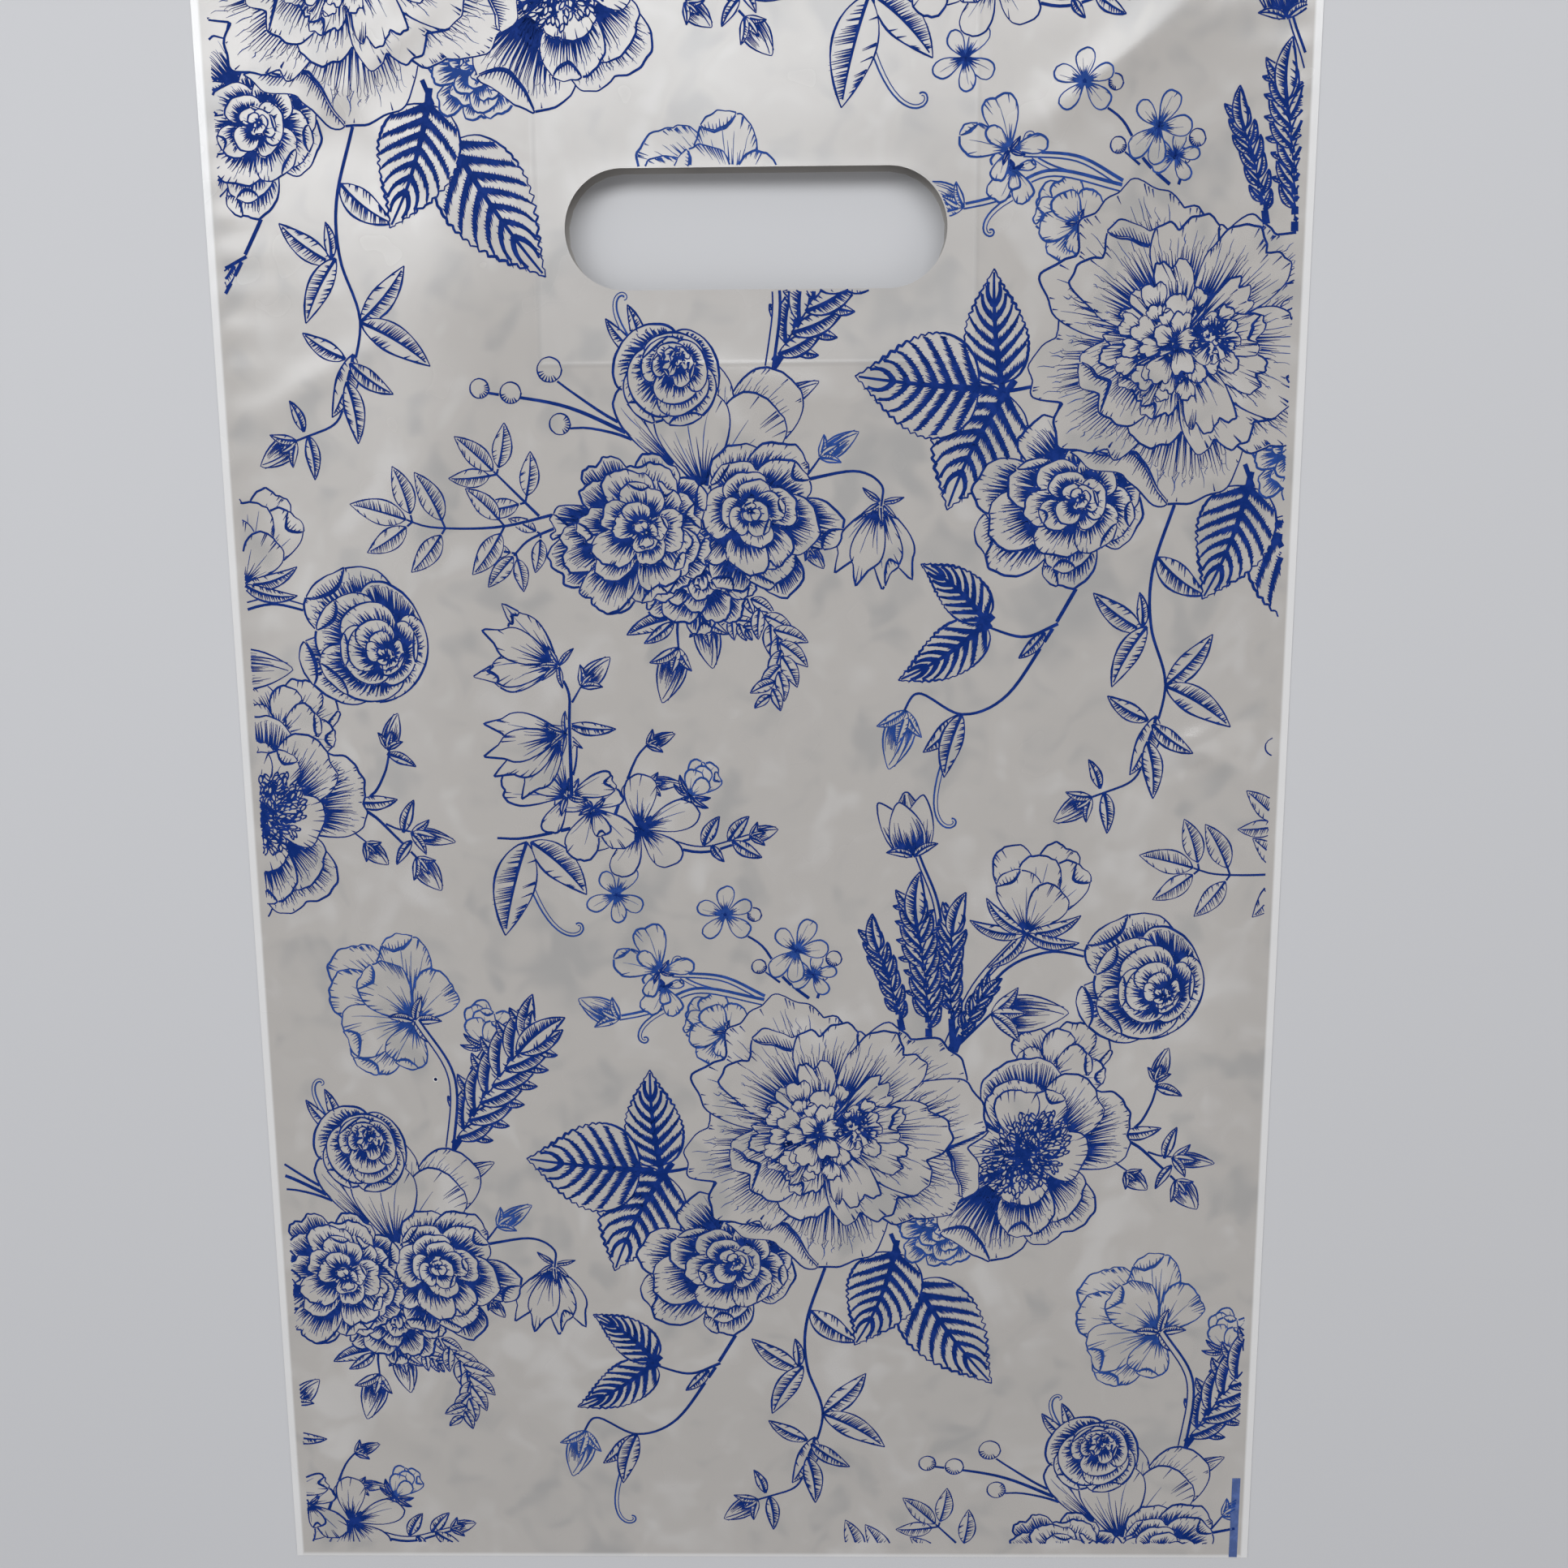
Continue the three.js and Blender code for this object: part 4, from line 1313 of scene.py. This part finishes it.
def patch_plate(name, node, height, material):
    """A plate of film round the slot, at a height of its own, in place of the CAD node."""
    low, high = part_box(node)
    bm = bmesh.new()
    panel(bm, PATCH_GRID, 0)
    for axis in (Vector((1, 0, 0)), Vector((0, 1, 0))):
        for corner, side in ((low, -1), (high, 1)):
            bmesh.ops.bisect_plane(bm, geom=bm.verts[:] + bm.edges[:] + bm.faces[:], dist=1e-4,
                                   plane_co=Vector(corner) / MM, plane_no=axis * side,
                                   clear_outer=True)
    moved(bm.verts[:], height)
    bmesh.ops.recalc_face_normals(bm, faces=bm.faces[:])
    bmesh.ops.solidify(bm, geom=bm.faces[:], thickness=high.z - low.z)
    piece = finished(name, bm, material)
    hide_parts(node)


class BAG_OT_patches(bpy.types.Operator):
    """Makes the two film patches that strengthen the slot, one on the inside of each panel."""

    bl_idname = "bag.patches"
    bl_label = "Handle patches"

    def execute(self, context):
        film = sizes().film / MM
        material = film_material("patch film", clouds=0.4)
        patch_plate("patch_front", "handle_patch_front",
                    lambda x, y: front_height(x, y) - film - SEAT_GAP, material)
        patch_plate("patch_back", "handle_patch_back",
                    lambda x, y: back_height(x, y) + 2 * film + SEAT_GAP, material)
        return {"FINISHED"}


# The print on the film

SLOT_CLEARANCE = 0.3                            # mm of plain film round the slot
BAR_STEPS, BAR_FOOT = 24, 0.2                   # points along the bar, and its start in mm
SPECK_PLACE = (-81, -66)
SPECK_RING, SPECK_SIDES = 1.7, 16               # the pale ring's radius in specks
RING_LIFT, SPECK_LIFT = 0.03, 0.06              # mm over the film


def bare_film(plate):
    """Keeps the pen off the margins and the slot."""
    p = print_sizes()
    columns = (np.arange(plate.taken.shape[1]) + 0.5) * CELL - plate.width / 2
    rows = (np.arange(plate.taken.shape[0]) + 0.5) * CELL
    x, y = np.meshgrid(columns, rows)
    plate.taken |= np.abs(x) > plate.width / 2 - p.side_margin / MM
    plate.taken |= (y < p.bottom_margin / MM) | (y > plate.height - p.top_margin / MM)
    plate.taken |= slot_distance(x, y - plate.height / 2) < SLOT_CLEARANCE


@functools.cache
def engraving():
    """The strokes of the print in three tones of ink, drawn once for both panels."""
    plate = Plate(BAG_WIDTH, BAG_HEIGHT)
    bare_film(plate)
    draw_print(plate)
    return plate.strokes


def bar_stroke():
    """The registration bar at the print's lower corner, as one wide stroke."""
    p = print_sizes()
    middle = BAG_WIDTH / 2 - p.bar_inset / MM - p.bar_width / MM / 2
    steps = np.linspace(BAR_FOOT, p.bar_length / MM, BAR_STEPS)
    points = np.column_stack([np.full(BAR_STEPS, middle), steps])
    return points, np.full(BAR_STEPS, p.bar_width / MM)


def inked(name, strokes, height, lift, material, mirror):
    """The strokes as flat ribbons that follow the film: a left edge, extruded to a right one."""
    bm = bmesh.new()
    rails, lefts, rights = [], [], []
    for points, widths in strokes:
        left, right = ribbon(points, widths)
        rail = [bm.verts.new((x, y, 0)) for x, y in left]
        rails += [bm.edges.new(pair) for pair in zip(rail, rail[1:])]
        lefts.append(left)
        rights.append(right)
    bm.verts.index_update()
    count = len(bm.verts)
    bmesh.ops.extrude_edge_only(bm, edges=rails)
    bm.verts.index_update()
    bm.verts.ensure_lookup_table()
    # The left vertex that each right one was extruded from
    source = [min(e.other_vert(v).index for e in v.link_edges) for v in bm.verts[count:]]
    places = np.vstack([*lefts, np.vstack(rights)[source]])
    places[:, 1] -= BAG_HEIGHT / 2
    places[:, 0] *= mirror
    heights = height(places[:, 0], places[:, 1]) + lift
    for vertex, (x, y), z in zip(bm.verts, places, heights):
        vertex.co = (x * MM, y * MM, z * MM)
    bm.normal_update()
    wrong = [f for f in bm.faces if f.normal.z * lift < 0]
    bmesh.ops.reverse_faces(bm, faces=wrong)
    finished(name, bm, material)


def print_panel(side, height, lift, mirror):
    """The flowers in three tones of ink, and the plain bar, on one panel."""
    c = colours()
    tones = {DARK: c.ink, MID: c.ink_mid, PALE: c.ink_pale}
    for tone, strokes in engraving().items():
        inked(f"{side}_print_{tone}", strokes, height, lift,
              ink_material(f"{tone} ink", tones[tone]), mirror)
    inked(f"{side}_bar", [bar_stroke()], height, lift, ink_material("bar ink", c.ink_pale), mirror)


def speck(radius):
    """The one dark speck on the front film, with its pale ring."""
    c = colours()
    for name, size, tone, lift in (("speck_ring", radius * SPECK_RING, c.film_sheen, RING_LIFT),
                                   ("speck", radius, c.ink / 3, SPECK_LIFT)):
        bm = bmesh.new()
        bmesh.ops.create_circle(bm, cap_ends=True, segments=SPECK_SIDES, radius=size / MM)
        bmesh.ops.translate(bm, vec=(*SPECK_PLACE, 0), verts=bm.verts)
        moved(bm.verts[:], lambda x, y: front_height(x, y) + lift)
        finished(name, bm, ink_material(name, tone))


class BAG_OT_front_print(bpy.types.Operator):
    """Prints the flowers on the front panel, and adds the speck."""

    bl_idname = "bag.front_print"
    bl_label = "Front print"

    def execute(self, context):
        print_panel("front", front_height, print_sizes().lift / MM, 1)
        speck(print_sizes().speck)
        return {"FINISHED"}


class BAG_OT_back_print(bpy.types.Operator):
    """Prints the same flowers on the back panel, as seen from behind."""

    bl_idname = "bag.back_print"
    bl_label = "Back print"

    def execute(self, context):
        print_panel("back", back_height, -0.8 * RESTING_GAP, -1)
        return {"FINISHED"}


# The stage

# Soft boxes that face the bag: name, place, width, height, share of the lamp's power and tint
LAMPS = [("window", (-0.1, 0.6, 1.05), 1.8, 0.4, 1.0, (0.95, 0.975, 1.0)),
         ("fill", (-1.2, 0.3, 1.3), 1.0, 1.0, 0.28, (0.97, 0.985, 1.0)),
         ("side", (1.3, -0.5, 1.2), 0.8, 0.8, 0.21, (1.0, 0.98, 0.95))]
SKY_TINT = (0.93, 0.95, 1.0, 1)


def staged(name, data):
    """A new object in the scene that holds this mesh, lamp or camera."""
    thing = bpy.data.objects.new(name, data)
    bpy.context.scene.collection.objects.link(thing)
    return thing


def lay_floor(size):
    bm = bmesh.new()
    bmesh.ops.create_grid(bm, x_segments=1, y_segments=1, size=size / 2)
    mesh = bpy.data.meshes.new("floor")
    bm.to_mesh(mesh)
    bm.free()
    n = Nodes("pale floor")
    n.set(Base_Color=tuple(colours().floor), Roughness=0.7)
    mesh.materials.append(n.material)
    staged("floor", mesh)


def place_camera(scene, s):
    lens = bpy.data.cameras.new("camera")
    lens.sensor_width = 36
    lens.lens = s.lens
    lens.clip_start = 0.01
    scene.camera = staged("camera", lens)
    scene.camera.location = s.camera_place
    scene.camera.rotation_euler = s.camera_turn


def hang_lamps(power):
    for name, place, wide, high, share, tint in LAMPS:
        light = bpy.data.lights.new(name, "AREA")
        light.shape = "RECTANGLE"
        light.size, light.size_y = wide, high
        light.energy = power * share
        light.color = tint
        lamp = staged(name, light)
        lamp.location = place
        lamp.rotation_euler = (-Vector(place)).to_track_quat("-Z", "Y").to_euler()


class BAG_OT_stage(bpy.types.Operator):
    """Sets the pale floor, the soft lights and the camera over the bag."""

    bl_idname = "bag.stage"
    bl_label = "Floor, lights and camera"

    def execute(self, context):
        scene = context.scene
        s = scene.bag_stage
        lay_floor(s.floor_size)
        place_camera(scene, s)
        hang_lamps(s.lamp)
        world = bpy.data.worlds.new("soft light")
        world.use_nodes = True
        back = world.node_tree.nodes["Background"]
        back.inputs["Color"].default_value = SKY_TINT
        back.inputs["Strength"].default_value = s.sky
        scene.world = world
        scene.view_settings.view_transform = "Standard"
        return {"FINISHED"}


class BAG_PT_panel(bpy.types.Panel):
    """Lists the steps that build the bag, and the sizes and colours behind them."""

    bl_idname = "BAG_PT_panel"
    bl_label = "Carrier Bag"
    bl_space_type = "VIEW_3D"
    bl_region_type = "UI"
    bl_category = "Carrier Bag"

    def draw(self, context):
        for step in STEPS:
            self.layout.operator(step.bl_idname)
        for group in GROUPS:
            box = self.layout.box()
            settings = getattr(context.scene, group)
            for name in settings.bl_rna.properties.keys():
                if name not in ("rna_type", "name"):
                    box.prop(settings, name)


GROUPS = {"bag_sizes": BagSizes, "bag_print": BagPrint, "bag_colours": BagColours,
          "bag_stage": StageSettings}
STEPS = [BAG_OT_film, BAG_OT_patches, BAG_OT_front_print, BAG_OT_back_print, BAG_OT_stage]


def register():
    for group in (*GROUPS.values(), *STEPS, BAG_PT_panel):
        bpy.utils.register_class(group)
    for name, group in GROUPS.items():
        setattr(bpy.types.Scene, name, bpy.props.PointerProperty(type=group))


def unregister():
    for name in GROUPS:
        delattr(bpy.types.Scene, name)
    for group in reversed((*GROUPS.values(), *STEPS, BAG_PT_panel)):
        bpy.utils.unregister_class(group)


def main():
    register()
    bpy.ops.bag.stage()
    bpy.ops.bag.film()
    bpy.ops.bag.patches()
    bpy.ops.bag.front_print()
    bpy.ops.bag.back_print()


if __name__ == "__main__":
    main()
